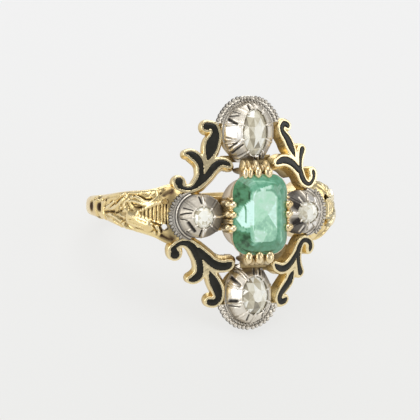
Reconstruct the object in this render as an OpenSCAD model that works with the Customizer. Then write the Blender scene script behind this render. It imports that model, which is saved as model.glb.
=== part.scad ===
// Antique gemstone ring in gold and silver, in millimetres.
// Every module is drawn with the finger hole along Y and the face of the ring towards +Z.
// The last step lays the ring on its side, with the finger hole nearly upright.

/* [Hoop] */
// Diameter of the finger hole
finger_d = 16.8; // [16.5:0.1:17.1]
// Thickness of the hoop at the back
back_thickness = 1.3; // [1.1:0.05:1.5]
// Width of the hoop at the back
back_width = 1.5; // [1.4:0.05:1.8]

/* [Scroll panels] */
// Thickness of a scroll panel
panel_thickness = 0.8; // [0.7:0.05:0.9]
// Gold border round the enamel
panel_border = 0.36; // [0.3:0.02:0.42]
// Depth of the cells that hold the enamel
enamel_depth = 0.3; // [0.2:0.05:0.4]

/* [Emerald] */
// Width of the emerald across the ring
emerald_w = 5.26; // [5.1:0.02:5.4]
// Length of the emerald along the finger
emerald_l = 6.9; // [6.7:0.05:7.1]
// Height of the emerald above its girdle
emerald_crown = 0.9; // [0.7:0.05:1]

/* [Collets] */
// Radius of the domes at the top and the bottom of the head
end_dome_r = 2.5; // [2.45:0.05:2.55]
// Radius of the domes at the left and the right
side_dome_r = 1.9; // [1.85:0.05:1.95]
// Distance of the top and bottom domes from the centre of the emerald
end_reach = 7.05; // [7:0.05:7.1]
// Outward tilt of the left and right collets
side_tilt = 11; // [10:0.5:12]
// Diameter of a milgrain bead
milgrain_d = 0.32; // [0.28:0.02:0.36]

/* [Hidden] */

$fn = 48;
finger_r = finger_d / 2;
gap = 0.02;              // between neighbouring pieces
gold = "goldenrod";
silver = "lightgray";

// Heights above the centre of the finger hole
plate_low = finger_r + 0.1;
plate_high = plate_low + 0.35;
cup_low = plate_high + gap;
girdle_z = finger_r + 3;

// Hoop, from the middle of the face round to the back
hoop_rows = [
    // angle, metal over the finger hole, half width, depth of the rounded top, way out of true
    [0,   0.45, 1.45, 0.10, 0],
    [14,  0.50, 1.45, 0.12, 0],
    [20,  1.00, 1.50, 0.30, 0],
    [27,  2.20, 1.80, 0.60, 0],
    [33,  2.90, 2.30, 1.00, 0],
    [40,  3.45, 2.60, 1.30, 0.04],
    [50,  3.60, 2.02, 1.40, 0.16],
    [59,  3.25, 1.74, 1.30, 0.24],
    [66,  2.70, 1.60, 1.20, 0.28],
    [74,  2.10, 1.42, 1.05, 0.32],
    [82,  1.70, 1.20, 0.95, 0.35],
    [90,  1.45, 1.05, 0.85, 0.36],
    [105, back_thickness + 0.05, 0.90, 0.80, 0.32],
    [130, back_thickness, back_width / 2 + 0.05, 0.75, 0.18],
    [160, back_thickness, back_width / 2, 0.75, 0],
    [200, back_thickness, back_width / 2, 0.75, 0]];
hoop_fullness = 0.75;    // a half ellipse has 1, a square section 0
hoop_steps = 96;
hoop_side_points = 12;
hoop_draft = 0.08;       // the hoop is this much narrower at the finger hole, on each side
hoop_low = finger_r - 0.3;

// Openings beside the tongue, and chased cuts: angle, place across, size
slot_angle = 42;
slot_across = 1.25;
slot_size = [1.25, 0.4, 5];
cut_angles = [89, 100];
cut_across = 0.3;
cut_size = [0.28, 0.8, 1];
cut_depth = 0.35;

// Enamel shapes of the two upper panels, seen from the front, in the corner right of and above
// the centre. Each row is a point on the middle line of the shape.
upper_leaf = [
    // across, along the finger, half width
    [4.05, 4.72, 0.03],
    [3.80, 5.40, 0.28],
    [3.55, 6.10, 0.40],
    [3.32, 6.70, 0.36],
    [3.35, 7.22, 0.27],
    [3.65, 7.46, 0.25],
    [4.00, 7.40, 0.27]];
upper_stem = [
    [5.84, 5.40, 0.04],
    [5.45, 5.28, 0.15],
    [5.03, 4.90, 0.25],
    [4.76, 4.32, 0.27],
    [4.68, 3.62, 0.24],
    [4.80, 3.00, 0.21],
    [5.15, 2.48, 0.17],
    [5.72, 2.24, 0.14],
    [6.22, 2.28, 0.14],
    [6.54, 2.50, 0.18],
    [6.66, 2.84, 0.22]];
upper_branch = [
    [5.14, 2.49, 0.16],
    [4.60, 3.02, 0.19],
    [4.04, 3.68, 0.24],
    [3.49, 4.20, 0.27],
    [2.97, 4.48, 0.25],
    [2.58, 4.45, 0.20],
    [2.24, 4.24, 0.07]];
upper_dot = [6.60, 2.80, 0.32];

// The same for the two lower panels, with the distance along the finger measured downwards
lower_leaf = [
    [3.84, 4.83, 0.03],
    [3.52, 5.52, 0.28],
    [3.14, 6.24, 0.33],
    [3.01, 6.76, 0.24],
    [3.10, 7.26, 0.25],
    [3.48, 7.46, 0.25],
    [3.82, 7.34, 0.25]];
lower_stem = [
    [5.66, 5.65, 0.05],
    [5.20, 5.58, 0.18],
    [4.80, 5.30, 0.26],
    [4.62, 4.80, 0.26],
    [4.62, 4.20, 0.25],
    [4.68, 3.60, 0.26],
    [5.00, 2.98, 0.25],
    [5.50, 2.50, 0.22],
    [6.10, 2.34, 0.20],
    [6.60, 2.55, 0.17],
    [6.86, 3.00, 0.14],
    [6.86, 3.40, 0.20]];
lower_branch = [
    [4.95, 3.10, 0.14],
    [4.50, 3.60, 0.24],
    [4.05, 4.08, 0.28],
    [3.38, 4.50, 0.29],
    [2.70, 4.54, 0.27],
    [2.15, 4.28, 0.12]];
lower_dot = [6.84, 3.42, 0.35];

// Plane of a panel: it passes through this point and tilts outwards and towards its end
panel_at = [1.87, 3.9, finger_r + 2];
panel_tilt_across = 20.3;
panel_tilt_along = 11.7;
wall_depth = 1.75;       // the frame is this deep under the branch beside the cup
wall_inset = 0.08;       // the wall under the branch is this much narrower than its border
corner_fill = 0.25;      // radius that fills the corners between the leaves of a plate

// Collets: place of the middle of the base, tilt, turn of the flange and half sizes
side_base = [4.95, 0, finger_r + 0.9];
end_collet = [
    // dome radius, height, opening radius, stone radius, ribs, shift of the flange, flange radius
    end_dome_r, 1.72, 1.80, 1.74, 12, 0.32, end_dome_r + 0.33];
side_collet = [
    side_dome_r, 1.20, 1.36, 1.31, 10, 0.28, side_dome_r + 0.27];
flange_thickness = 0.35;
flange_flat = 0.06;      // the outer edge of a flange is cut back by this to a short flat
collet_rib = 0.08;       // how far the ribs stand out of a dome
rib_angle = 8;           // width of a rib of a dome
milgrain_arc = 190;      // angle over which the milgrain runs
milgrain_sink = 0.03;    // the middle of a bead lies this far under the top of the flange
seat_depth = 0.5;        // of a diamond below the top of its dome

// The angle at which the ring lies: it rests on the edge of the bottom collet and on the round
// side of the hoop at its back.
rest_reach = [
    cup_low + finger_r + back_thickness - back_width / 2,
    end_reach + end_collet[5] + end_collet[6] - flange_flat];
rest_tilt = atan(rest_reach.y / rest_reach.x) - asin(back_width / 2 / norm(rest_reach));

function smooth(rows, a, column) =
    let (pick = [for (row = rows) [row[0], row[column]]])
    (lookup(a - 3, pick) + 2 * lookup(a, pick) + lookup(a + 3, pick)) / 4;

// A curve through the rows, with steps points from one row to the next
function curve_point(p, i, t) =
    let (a = p[max(i - 1, 0)], b = p[i], c = p[i + 1], d = p[min(i + 2, len(p) - 1)])
    0.5 * (2 * b + (c - a) * t + (2 * a - 5 * b + 4 * c - d) * t * t
        + (3 * b - a - 3 * c + d) * t * t * t);
function curve(p, steps) =
    [for (i = [0:len(p) - 2], k = [0:steps - 1]) curve_point(p, i, k / steps), p[len(p) - 1]];

function edge(rows, side) = [
    for (i = [0:len(rows) - 1])
        let (a = rows[max(i - 1, 0)], b = rows[min(i + 1, len(rows) - 1)],
            way = [b.x - a.x, b.y - a.y] / norm([b.x - a.x, b.y - a.y]))
        [rows[i].x - side * way.y * rows[i][2], rows[i].y + side * way.x * rows[i][2]]];
function reversed(list) = [for (i = [len(list) - 1:-1:0]) list[i]];

// A point seen from the front, as a point in the plane of its panel
function in_panel(p) = [
    (p.x - panel_at.x) / cos(panel_tilt_across)
        + (p.y - panel_at.y) * tan(panel_tilt_along) * tan(panel_tilt_across),
    (p.y - panel_at.y) / cos(panel_tilt_along)];

// Closed solid through loops of points, all of one length, from the lowest to the highest
module lofted(loops) {
    n = len(loops[0]);
    m = len(loops);
    first = [for (p = loops[0]) p];
    last = [for (p = loops[m - 1]) p];
    points = concat([for (loop = loops) each loop], [middle(first), middle(last)]);
    polyhedron(points, concat(
        [for (i = [0:n - 1]) [i, (i + 1) % n, m * n]],
        [for (j = [0:m - 2], i = [0:n - 1]) each [
            [j * n + i, (j + 1) * n + (i + 1) % n, j * n + (i + 1) % n],
            [j * n + i, (j + 1) * n + i, (j + 1) * n + (i + 1) % n]]],
        [for (i = [0:n - 1]) [(m - 1) * n + (i + 1) % n, (m - 1) * n + i, m * n + 1]]));
}
function middle(loop) = [for (k = [0:2]) sum([for (p = loop) p[k]]) / len(loop)];
function sum(list, i = 0) = i == len(list) - 1 ? list[i] : list[i] + sum(list, i + 1);

// Rectangle with round corners, as a loop at one height
function cushion(half_w, half_l, corner_r, z, per_corner) = [
    for (q = [0:3], k = [0:per_corner - 1])
        let (a = q * 90 + 90 * k / (per_corner - 1),
            sx = q == 0 || q == 3 ? 1 : -1, sy = q < 2 ? 1 : -1)
        [sx * (half_w - corner_r) + corner_r * cos(a), sy * (half_l - corner_r) + corner_r * sin(a), z]];
function round_loop(r, z, n, turn = 0) = [for (i = [0:n - 1]) [r * cos(360 * i / n + turn),
    r * sin(360 * i / n + turn), z]];

module laid_down() {
    rotate([90 - rest_tilt, 0, 0]) children();
}

// Hoop

function hoop_ring(a) =
    let (b = abs(a > 180 ? a - 360 : a),
        top = finger_r + smooth(hoop_rows, b, 1), w = smooth(hoop_rows, b, 2),
        round = smooth(hoop_rows, b, 3), off = smooth(hoop_rows, b, 4))
    [for (p = concat([[w - hoop_draft, hoop_low]],
            [for (k = [0:hoop_side_points]) let (t = 180 * k / hoop_side_points)
                [w * full(cos(t)), top - round + round * full(sin(t))]],
            [[hoop_draft - w, hoop_low]]))
        [p[1] * sin(a), p[0] + off, p[1] * cos(a)]];
function full(v) = sign(v) * pow(abs(v), hoop_fullness);

module hoop_blank() {
    rings = [for (i = [0:hoop_steps - 1]) hoop_ring(360 * i / hoop_steps)];
    n = len(rings[0]);
    polyhedron([for (ring = rings) each ring], [
        for (j = [0:hoop_steps - 1], i = [0:n - 1])
            let (a = j * n + i, b = j * n + (i + 1) % n,
                c = ((j + 1) % hoop_steps) * n + (i + 1) % n, d = ((j + 1) % hoop_steps) * n + i)
            each [[a, c, b], [a, d, c]]]);
}

// Ribbed tongue that points from a side collet down the shoulder
tongue_from = 41.5;
tongue_to = 57.5;
tongue_half = 0.95;
tongue_ribs = 8;
tongue_rib_r = 0.15;

module on_hoop(a) {
    rotate([0, a, 0]) translate([0, smooth(hoop_rows, a, 4), finger_r + smooth(hoop_rows, a, 1)])
        children();
}

module tongue() {
    for (i = [0:tongue_ribs - 1]) {
        a = tongue_from + (tongue_to - tongue_from) * i / tongue_ribs;
        half = tongue_half * (1 - i / tongue_ribs);
        on_hoop(a) translate([0, 0, -tongue_rib_r / 2]) rotate([90, 0, 0])
            cylinder(r = tongue_rib_r, h = 2 * half, center = true);
    }
}

// Openings beside the tongue, through which light shows under the collet
module shoulder_slots() {
    for (side = [-1, 1])
        rotate([0, slot_angle, 0]) translate([-0.5, side * slot_across - slot_size.y / 2, finger_r - 1])
            cube(slot_size);
}

// Two chased cuts where the shoulder meets the plain hoop
module chased_cuts() {
    for (a = cut_angles)
        on_hoop(a) translate([-cut_size.x / 2, cut_across - cut_size.y / 2, -cut_depth]) cube(cut_size);
}

module both_sides() {
    children();
    mirror([1, 0, 0]) children();
}

// Scroll panels

module ribbon(rows) {
    line = curve([for (r = rows) let (p = in_panel(r)) [p.x, p.y, r[2]]], 4);
    polygon(concat(edge(line, 1), reversed(edge(line, -1))));
}

module scroll_outline(stem, branch, dot) {
    ribbon(stem);
    ribbon(branch);
    translate(in_panel(dot)) circle(r = dot[2], $fn = 24);
}

module in_panel_plane(x_side, y_side) {
    scale_x = x_side < 0 ? [1, 0, 0] : [0, 0, 0];
    scale_y = y_side < 0 ? [0, 1, 0] : [0, 0, 0];
    mirror(scale_x) mirror(scale_y)
        translate(panel_at) rotate([0, panel_tilt_across, 0]) rotate([-panel_tilt_along, 0, 0])
            children();
}

module panel_plate(leaf, stem, branch, dot) {
    translate([0, 0, -panel_thickness]) linear_extrude(panel_thickness)
        offset(r = -corner_fill, $fn = 16) offset(r = panel_border + corner_fill, $fn = 16) {
            ribbon(leaf);
            scroll_outline(stem, branch, dot);
        }
    translate([0, 0, -wall_depth]) linear_extrude(wall_depth - panel_thickness / 2)
        offset(r = panel_border - wall_inset, $fn = 12) ribbon(branch);
}

module panel_cells(leaf, stem, branch, dot) {
    translate([0, 0, -enamel_depth - gap]) linear_extrude(1)
        offset(delta = gap / 2) {
            ribbon(leaf);
            scroll_outline(stem, branch, dot);
        }
}

module all_panels(part) {
    for (x_side = [-1, 1]) {
        in_panel_plane(x_side, 1) {
            if (part == "plate") panel_plate(upper_leaf, upper_stem, upper_branch, upper_dot);
            if (part == "cells") panel_cells(upper_leaf, upper_stem, upper_branch, upper_dot);
        }
        in_panel_plane(x_side, -1) {
            if (part == "plate") panel_plate(lower_leaf, lower_stem, lower_branch, lower_dot);
            if (part == "cells") panel_cells(lower_leaf, lower_stem, lower_branch, lower_dot);
        }
    }
}

// Bars and back plates under the head

spine_size = [1, 10];
bar_size = [4.8, 0.6];
bar_across = 4.7;
disc_margin = 0.1;       // of a back plate round its dome

module back_frame() {
    translate([0, 0, plate_low]) linear_extrude(plate_high - plate_low) {
        square(spine_size, center = true);
        for (side = [-1, 1]) {
            translate([0, side * (end_reach + disc_margin)]) circle(r = end_dome_r + disc_margin);
            translate([0, side * bar_across]) square(bar_size, center = true);
        }
    }
}

// Collets

module at_collet(place) {
    if (place == "top") translate([0, end_reach, cup_low]) rotate([0, 0, 90]) children();
    if (place == "bottom") translate([0, -end_reach, cup_low]) rotate([0, 0, -90]) children();
    if (place == "right") translate(side_base) rotate([0, side_tilt, 0]) children();
    if (place == "left") mirror([1, 0, 0]) at_collet("right") children();
}

function dome_profile(c, extra) = [
    [0, -extra], [c[0] + extra, -extra], [c[0] + extra, 0.2 * c[1]],
    [c[0] * 0.985 + extra, 0.42 * c[1]], [c[0] * 0.93 + extra, 0.65 * c[1]],
    [c[0] * 0.84 + extra, 0.86 * c[1]], [c[0] * 0.74 + extra, c[1] + extra], [0, c[1] + extra]];

// Room for a collet with its ribs and milgrain, and a small gap round it
module collet_space(c) {
    rotate_extrude() intersection() {
        polygon(dome_profile(c, collet_rib + gap));
        translate([0, -gap]) square(c[0] + c[1]);
    }
    translate([c[5], 0, -gap]) cylinder(r = c[6] + gap, h = flange_thickness + milgrain_d / 2 + gap);
}

module collet(c) {
    color(silver) {
        difference() {
            union() {
                rotate_extrude() polygon(dome_profile(c, 0));
                intersection() {
                    translate([c[5], 0, 0]) cylinder(r = c[6], h = flange_thickness);
                    translate([-c[6], -c[6], 0])
                        cube([c[5] + 2 * c[6] - flange_flat, 2 * c[6], flange_thickness]);
                }
                for (i = [0:c[4] - 1]) rotate([0, 0, 360 * (i + 0.5) / c[4] - rib_angle / 2])
                    rotate_extrude(angle = rib_angle) intersection() {
                        polygon(dome_profile(c, collet_rib));
                        translate([flange_thickness, flange_thickness]) square([c[0], c[1]]);
                    }
            }
            translate([0, 0, c[1] - seat_depth]) cylinder(r = c[2], h = 2 * seat_depth);
        }
        for (row = [0, 1], k = [0:milgrain_count(c, row) - 1])
            let (a = milgrain_arc * ((k + 0.5) / milgrain_count(c, row) - 0.5))
            translate([c[5] + milgrain_row_r(c, row) * cos(a), milgrain_row_r(c, row) * sin(a),
                flange_thickness - milgrain_sink]) sphere(d = milgrain_d, $fn = 24);
    }
}
function milgrain_row_r(c, row) = c[6] - flange_flat - milgrain_d / 2 - row * milgrain_d * 1.05;
function milgrain_count(c, row) =
    floor(milgrain_row_r(c, row) * milgrain_arc * PI / 180 / (milgrain_d * 1.06));

diamond_sides = 16;
diamond_rows = [
    // share of the radius, height, share of the radius added to the height, part of a side turned
    [0.80, 0, 0, 0], [1, 0.2, 0, 0], [1, 0.28, 0, 0], [0.72, 0.28, 0.30, 0.5], [0.34, 0.28, 0.42, 0]];

module diamond(c) {
    color("whitesmoke") lofted([for (row = diamond_rows)
        round_loop(c[3] * row[0], c[1] - seat_depth + gap + row[1] + c[3] * row[2], diamond_sides,
            360 / diamond_sides * row[3])]);
}

// Centre stone and its cup

per_corner = 7;
corner_r = 1.5;
crown_rows = [
    // share of the crown height, share of the way in from the girdle to the table
    [0, 0], [0.45, 0.36], [0.78, 0.68], [1, 1]];
pavilion_rows = [[-1.75, 0.86], [-1.2, 0.62], [-0.6, 0.28], [-0.08, 0]];
table_in = [1.45, 1.15];   // from the girdle to the table, across and along

function emerald_loop(share, z, extra) = cushion(
    emerald_w / 2 - share * table_in.x + extra, emerald_l / 2 - share * table_in.y + extra,
    corner_r * (1 - 0.55 * share) + extra, z, per_corner);

module emerald_body(extra) {
    lofted(concat(
        [for (row = pavilion_rows) cushion(
            emerald_w / 2 * (1 - row[1]) + extra, emerald_l / 2 - emerald_w / 2 * row[1] + extra,
            corner_r * (1 - row[1]) + extra, girdle_z + row[0] - extra, per_corner)],
        [for (row = crown_rows) emerald_loop(row[1], girdle_z + row[0] * emerald_crown + extra, extra)]));
}

module emerald() {
    color("mediumseagreen") emerald_body(0);
}

claws_along = [-1.15, -0.05, 1.05];      // places across, in the upper and lower groups
claws_across = [1.05, 0, -1.1];          // places along the finger, in the side groups
claw_r = 0.24;
claw_bead_r = 0.38;
claw_low = cup_low + 0.3;
claw_top = girdle_z + 0.12;
claw_out_across = 0.1;                   // from the edge of the stone to the middle of a side claw
claw_out_along = 0.12;                   // and of an upper or lower claw
claw_lean = 0.1;                         // how far a bead leans over the stone
cup_rows = [
    // height, beyond the stone across and along, corner radius
    [cup_low, -0.15, -0.42, 2.3],
    [cup_low + 1.2, -0.05, -0.30, 2.2],
    [girdle_z - gap, 0.10, 0.10, 1.62]];
cup_hollow_rows = [
    [cup_low + 0.35, -0.45, -0.72, 2],
    [girdle_z - 0.1, -0.2, -0.2, 1.3]];

module claw(x, y, lean_x, lean_y) {
    translate([x, y, claw_low]) cylinder(r = claw_r, h = claw_top - claw_low);
    translate([x - lean_x * claw_lean, y - lean_y * claw_lean, claw_top]) sphere(r = claw_bead_r);
}

module cup_shape(rows, extra = 0) {
    lofted([for (row = rows) cushion(emerald_w / 2 + row[1] + extra, emerald_l / 2 + row[2] + extra,
        row[3], row[0] == cup_low ? row[0] - extra : row[0], per_corner)]);
}

module claw_setting() {
    half_w = emerald_w / 2;
    half_l = emerald_l / 2;
    color("rosybrown") difference() {
        union() {
            cup_shape(cup_rows);
            for (x = claws_along) {
                claw(x, half_l + claw_out_along, 0, 1);
                claw(x, -half_l - claw_out_along, 0, -1);
            }
            for (y = claws_across) {
                claw(half_w + claw_out_across, y, 1, 0);
                claw(-half_w - claw_out_across, y, -1, 0);
            }
        }
        emerald_body(gap);
        cup_shape(cup_hollow_rows);
    }
}

module enamel(x_side, y_side) {
    color("#181420") difference() {
        in_panel_plane(x_side, y_side) translate([0, 0, -enamel_depth])
            linear_extrude(enamel_depth) offset(delta = -gap / 2) children();
        at_collet(y_side > 0 ? "top" : "bottom") collet_space(end_collet);
        at_collet(x_side > 0 ? "right" : "left") collet_space(side_collet);
    }
}

module gold_mount() {
    color(gold) difference() {
        union() {
            hoop_blank();
            both_sides() tongue();
            all_panels("plate");
            back_frame();
        }
        rotate([90, 0, 0]) cylinder(r = finger_r, h = 40, center = true, $fn = 96);
        both_sides() {
            shoulder_slots();
            chased_cuts();
        }
        all_panels("cells");
        for (place = ["top", "bottom"]) at_collet(place) collet_space(end_collet);
        for (place = ["left", "right"]) at_collet(place) collet_space(side_collet);
        cup_shape(cup_rows, gap);
    }
}

laid_down() gold_mount();
laid_down() claw_setting();
laid_down() emerald();
laid_down() at_collet("top") collet(end_collet);  // collet_top
laid_down() at_collet("bottom") collet(end_collet);  // collet_bottom
laid_down() at_collet("left") collet(side_collet);  // collet_left
laid_down() at_collet("right") collet(side_collet);  // collet_right
laid_down() at_collet("top") diamond(end_collet);  // diamond_top
laid_down() at_collet("bottom") diamond(end_collet);  // diamond_bottom
laid_down() at_collet("left") diamond(side_collet);  // diamond_left
laid_down() at_collet("right") diamond(side_collet);  // diamond_right
laid_down() enamel(-1, 1) ribbon(upper_leaf);  // enamel_leaf_nw
laid_down() enamel(1, 1) ribbon(upper_leaf);  // enamel_leaf_ne
laid_down() enamel(-1, -1) ribbon(lower_leaf);  // enamel_leaf_sw
laid_down() enamel(1, -1) ribbon(lower_leaf);  // enamel_leaf_se
laid_down() enamel(-1, 1) scroll_outline(upper_stem, upper_branch, upper_dot);  // enamel_scroll_nw
laid_down() enamel(1, 1) scroll_outline(upper_stem, upper_branch, upper_dot);  // enamel_scroll_ne
laid_down() enamel(-1, -1) scroll_outline(lower_stem, lower_branch, lower_dot);  // enamel_scroll_sw
laid_down() enamel(1, -1) scroll_outline(lower_stem, lower_branch, lower_dot);  // enamel_scroll_se
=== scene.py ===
import math

import bpy
import numpy as np
from mathutils import Matrix, Vector


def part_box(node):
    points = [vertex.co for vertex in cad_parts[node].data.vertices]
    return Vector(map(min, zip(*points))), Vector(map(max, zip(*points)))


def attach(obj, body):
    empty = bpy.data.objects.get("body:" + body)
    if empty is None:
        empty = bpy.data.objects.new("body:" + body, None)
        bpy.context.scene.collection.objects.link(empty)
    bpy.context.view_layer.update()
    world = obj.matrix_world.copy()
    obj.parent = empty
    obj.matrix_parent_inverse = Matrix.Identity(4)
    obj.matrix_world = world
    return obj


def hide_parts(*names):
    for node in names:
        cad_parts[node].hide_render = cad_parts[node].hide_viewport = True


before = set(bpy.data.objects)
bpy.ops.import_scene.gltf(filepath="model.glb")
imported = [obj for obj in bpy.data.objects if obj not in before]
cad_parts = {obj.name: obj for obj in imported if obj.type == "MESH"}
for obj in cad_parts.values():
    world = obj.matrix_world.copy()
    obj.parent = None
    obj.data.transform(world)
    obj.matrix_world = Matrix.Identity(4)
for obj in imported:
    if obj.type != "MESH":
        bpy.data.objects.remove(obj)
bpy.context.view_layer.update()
print("frame loaded:", len(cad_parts), "nodes")

# All lengths are millimetres, with the finger hole along y and the face of the ring towards z.
# laid() turns them into the frame, where the ring lies on its side.
ring = {
    "holeRadius": 8.4, "backThickness": 1.3, "backWidth": 1.5,
    "plateLow": 8.5, "plateHigh": 8.85, "cupLow": 8.87, "girdle": 11.4,     # heights over the hole's middle
    "endReach": 7.05, "sideBase": (4.95, 0, 9.3), "sideTilt": 11, "leftDrop": 0.10,     # collets
    "flange": 0.35,         # thickness of their flanges
}

# Each collet stands at the origin of its own axes, and its x leads away from the emerald.
# dome, height, facets: radius at the foot, height, number of facets round the stone
# rimAt, rim, rimFrom, edge: middle and radius of the flange, and the x where it begins and is cut off
# collar: the x where a narrow ring round the foot fades in and is full
# beads: rows of milgrain, each with a radius, half of its arc in degrees and the size of a bead
# beadShape, beadWear: length of a bead over its width, and how bright the beads are rubbed
# ridge, groove: height of the ring between dome and beads, depth of the cuts between facets
# darkness: how dark the silver is with age; lean, sway: how far the mouth is moved along x and along y
endCollet = {
    "dome": 2.5, "height": 1.72, "facets": 10, "rimAt": -0.05, "rim": 3.16, "rimFrom": 0.75, "edge": 3.09,
    "collar": (-9.0, -8.0), "beads": [(3.11, 72, 0.19), (2.76, 70, 0.16)], "beadShape": 1.0,
    "ridge": 0.0, "groove": 0.10, "darkness": 0.0, "lean": 0.0, "sway": 0.0}
sideCollet = {
    "dome": 1.9, "height": 1.20, "facets": 8, "rimAt": 0.50, "rim": 2.12, "rimFrom": 0.7, "edge": 9.0,
    "collar": (0.0, 0.9), "beads": [(2.08, 62, 0.15)], "beadShape": 1.6,
    "ridge": 0.07, "groove": 0.05, "darkness": 0.22, "lean": 0.0, "sway": 0.0,
    "seatAt": 0.40, "seatRadius": 2.15}     # the flat cut into the hoop under it
# opening, stretch: radius of the mouth, and how far it is drawn out along x and y
# foot: how far the foot is drawn out along x, moved along x, and drawn out along y
# bright: lightness of the stone's painted facet light
collets = {
    "top": {**endCollet, "opening": 1.58, "stretch": (1.30, 0.76), "bright": 0.64,
            "foot": (1.06, -0.14, 0.98), "beadWear": 0.12},
    "bottom": {**endCollet, "opening": 1.48, "stretch": (1.14, 0.86), "bright": 0.68,
               "foot": (1.06, -0.13, 0.88), "beadWear": 0.34, "rim": 2.98,
               "beads": [(2.90, 72, 0.21), (2.60, 68, 0.14)]},
    "left": {**sideCollet, "opening": 0.98, "stretch": (0.95, 1.0), "bright": 0.95,
             "foot": (1.10, -0.20, 1.0), "lean": -0.20, "sway": -0.10, "beadWear": 0.16},
    "right": {**sideCollet, "opening": 0.98, "stretch": (1.20, 0.98), "bright": 0.92,
              "foot": (1.10, -0.20, 1.0), "lean": 0.12, "darkness": 0.08, "beadWear": 0.30},
}
restReach = (
    ring["cupLow"] + ring["holeRadius"] + ring["backThickness"] - ring["backWidth"] / 2,
    ring["endReach"] + endCollet["edge"])
restTilt = (math.atan2(restReach[1], restReach[0])
            - math.asin(ring["backWidth"] / 2 / math.hypot(*restReach)))


def laid(points):
    p = np.asarray(points, float)
    s, c = math.sin(restTilt), math.cos(restTilt)
    return np.stack((p[..., 0], p[..., 1] * s - p[..., 2] * c, p[..., 1] * c + p[..., 2] * s), -1) * 0.001


# Camera: where the photograph was taken from, relative to the ring
shot = {"turn": 28, "lift": 3.2, "pixelsPerMm": 11.5, "centre": (198, 208), "distance": 1200,
        "photoSize": 420, "film": 36}


def shotAxes():
    a, e = math.radians(shot["turn"]), math.radians(shot["lift"])
    back = np.array((-math.sin(a) * math.cos(e), math.sin(e), math.cos(a) * math.cos(e)))
    right = np.array((math.cos(a), 0, math.sin(a)))
    return right, np.cross(back, right), back


shotRight, shotUp, shotBack = shotAxes()


def onPhoto(points):
    # photo pixels of points on the ring
    p = np.asarray(points, float)
    near, middle = shot["distance"] / (shot["distance"] - p @ shotBack), shot["photoSize"] / 2
    return (middle + near * (shot["centre"][0] - middle + shot["pixelsPerMm"] * (p @ shotRight)),
            middle + near * (shot["centre"][1] - middle - shot["pixelsPerMm"] * (p @ shotUp)))


def setCamera():
    middle = shot["photoSize"] / 2
    across, down = middle - shot["centre"][0], middle - shot["centre"][1]
    aim = (shotRight * across - shotUp * down) / shot["pixelsPerMm"]
    camera = bpy.data.cameras.new("camera")
    camera.sensor_width = shot["film"]
    camera.lens = shot["film"] * shot["distance"] * shot["pixelsPerMm"] / shot["photoSize"]
    camera.clip_start, camera.clip_end = 0.01, 10
    holder = bpy.data.objects.new("camera", camera)
    bpy.context.scene.collection.objects.link(holder)
    axes = [Vector(laid(v) * 1000) for v in (shotRight, shotUp, shotBack)]
    place = Matrix([list(row) for row in zip(*axes)]).to_4x4()
    place.translation = Vector(laid(aim + shotBack * shot["distance"]))
    holder.matrix_world = place
    bpy.context.scene.camera = holder


setCamera()
print("camera set")


# Shader helpers

class Value:
    def __init__(self, finish, socket):
        self.finish, self.socket = finish, socket

    def join(self, operation, first, second):
        return self.finish.node("ShaderNodeMath", {"operation": operation}, {0: first, 1: second})

    def __add__(self, other):
        return self.join("ADD", self, other)

    def __radd__(self, other):
        return self.join("ADD", other, self)

    def __sub__(self, other):
        return self.join("SUBTRACT", self, other)

    def __rsub__(self, other):
        return self.join("SUBTRACT", other, self)

    def __mul__(self, other):
        return self.join("MULTIPLY", self, other)

    def __rmul__(self, other):
        return self.join("MULTIPLY", other, self)


class Finish:
    def __init__(self, name):
        self.data = bpy.data.materials.new(name)
        self.data.use_nodes = True
        self.tree = self.data.node_tree
        self.tree.nodes.clear()

    def node(self, kind, settings=None, inputs=None, output=0):
        made = self.tree.nodes.new(kind)
        for name, value in (settings or {}).items():
            if name == "stops":
                ramp = made.color_ramp
                for i, (at, tone) in enumerate(value):
                    stop = ramp.elements[i] if i < 2 else ramp.elements.new(at)
                    stop.position, stop.color = at, (*tone, 1)
            else:
                setattr(made, name, value)
        for name, value in (inputs or {}).items():
            if isinstance(value, Value):
                self.tree.links.new(value.socket, made.inputs[name])
            elif isinstance(value, (tuple, list)) and len(value) == 3 and made.inputs[name].type == "RGBA":
                made.inputs[name].default_value = (*value, 1)
            else:
                made.inputs[name].default_value = value
        return Value(self, made.outputs[output])

    def blend(self, factor, first, second, kind="MIX"):
        return self.node("ShaderNodeMix", {"data_type": "RGBA", "blend_type": kind, "clamp_factor": True},
                         {0: factor, 6: first, 7: second}, output=2)

    def noise(self, size, detail=3, rough=0.6, stretch=(1, 1, 1)):
        # cloudy noise whose features are about size millimetres wide
        place = self.node("ShaderNodeTexCoord", output="Object")
        place = self.node("ShaderNodeVectorMath", {"operation": "MULTIPLY"}, {0: place, 1: stretch})
        return self.node("ShaderNodeTexNoise", {}, {"Vector": place, "Scale": 1000 / size, "Detail": detail,
                                                    "Roughness": rough})

    def spread(self, value, low, high):
        # value stretched so that low becomes 0 and high becomes 1
        return self.node("ShaderNodeMapRange", {"clamp": True}, {0: value, 1: low, 2: high, 3: 0, 4: 1})

    def field(self, name):
        return self.node("ShaderNodeAttribute", {"attribute_name": name}, output="Fac")

    def bump(self, height, depth):
        # depth in millimetres
        return self.node("ShaderNodeBump", {}, {"Strength": 1, "Distance": depth * 0.001, "Height": height})

    def surface(self, inputs):
        shader = self.node("ShaderNodeBsdfPrincipled", {}, inputs)
        end = self.tree.nodes.new("ShaderNodeOutputMaterial")
        self.tree.links.new(shader.socket, end.inputs["Surface"])
        return self.data


# Metals: colour, its warmer patches, the colour of age and painted shade in the hollows, and of rubbed edges
# and painted highlights
goldLook = {"light": (0.94, 0.76, 0.38), "warm": (0.79, 0.58, 0.26), "dark": (0.055, 0.025, 0.008),
            "bright": (1.0, 0.90, 0.64), "roughness": 0.20, "grainDepth": 0.014}
metalGrain = {"cloud": 1.6, "grain": 0.16, "scratch": 0.5}      # size of patches, grains and scratches


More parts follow.
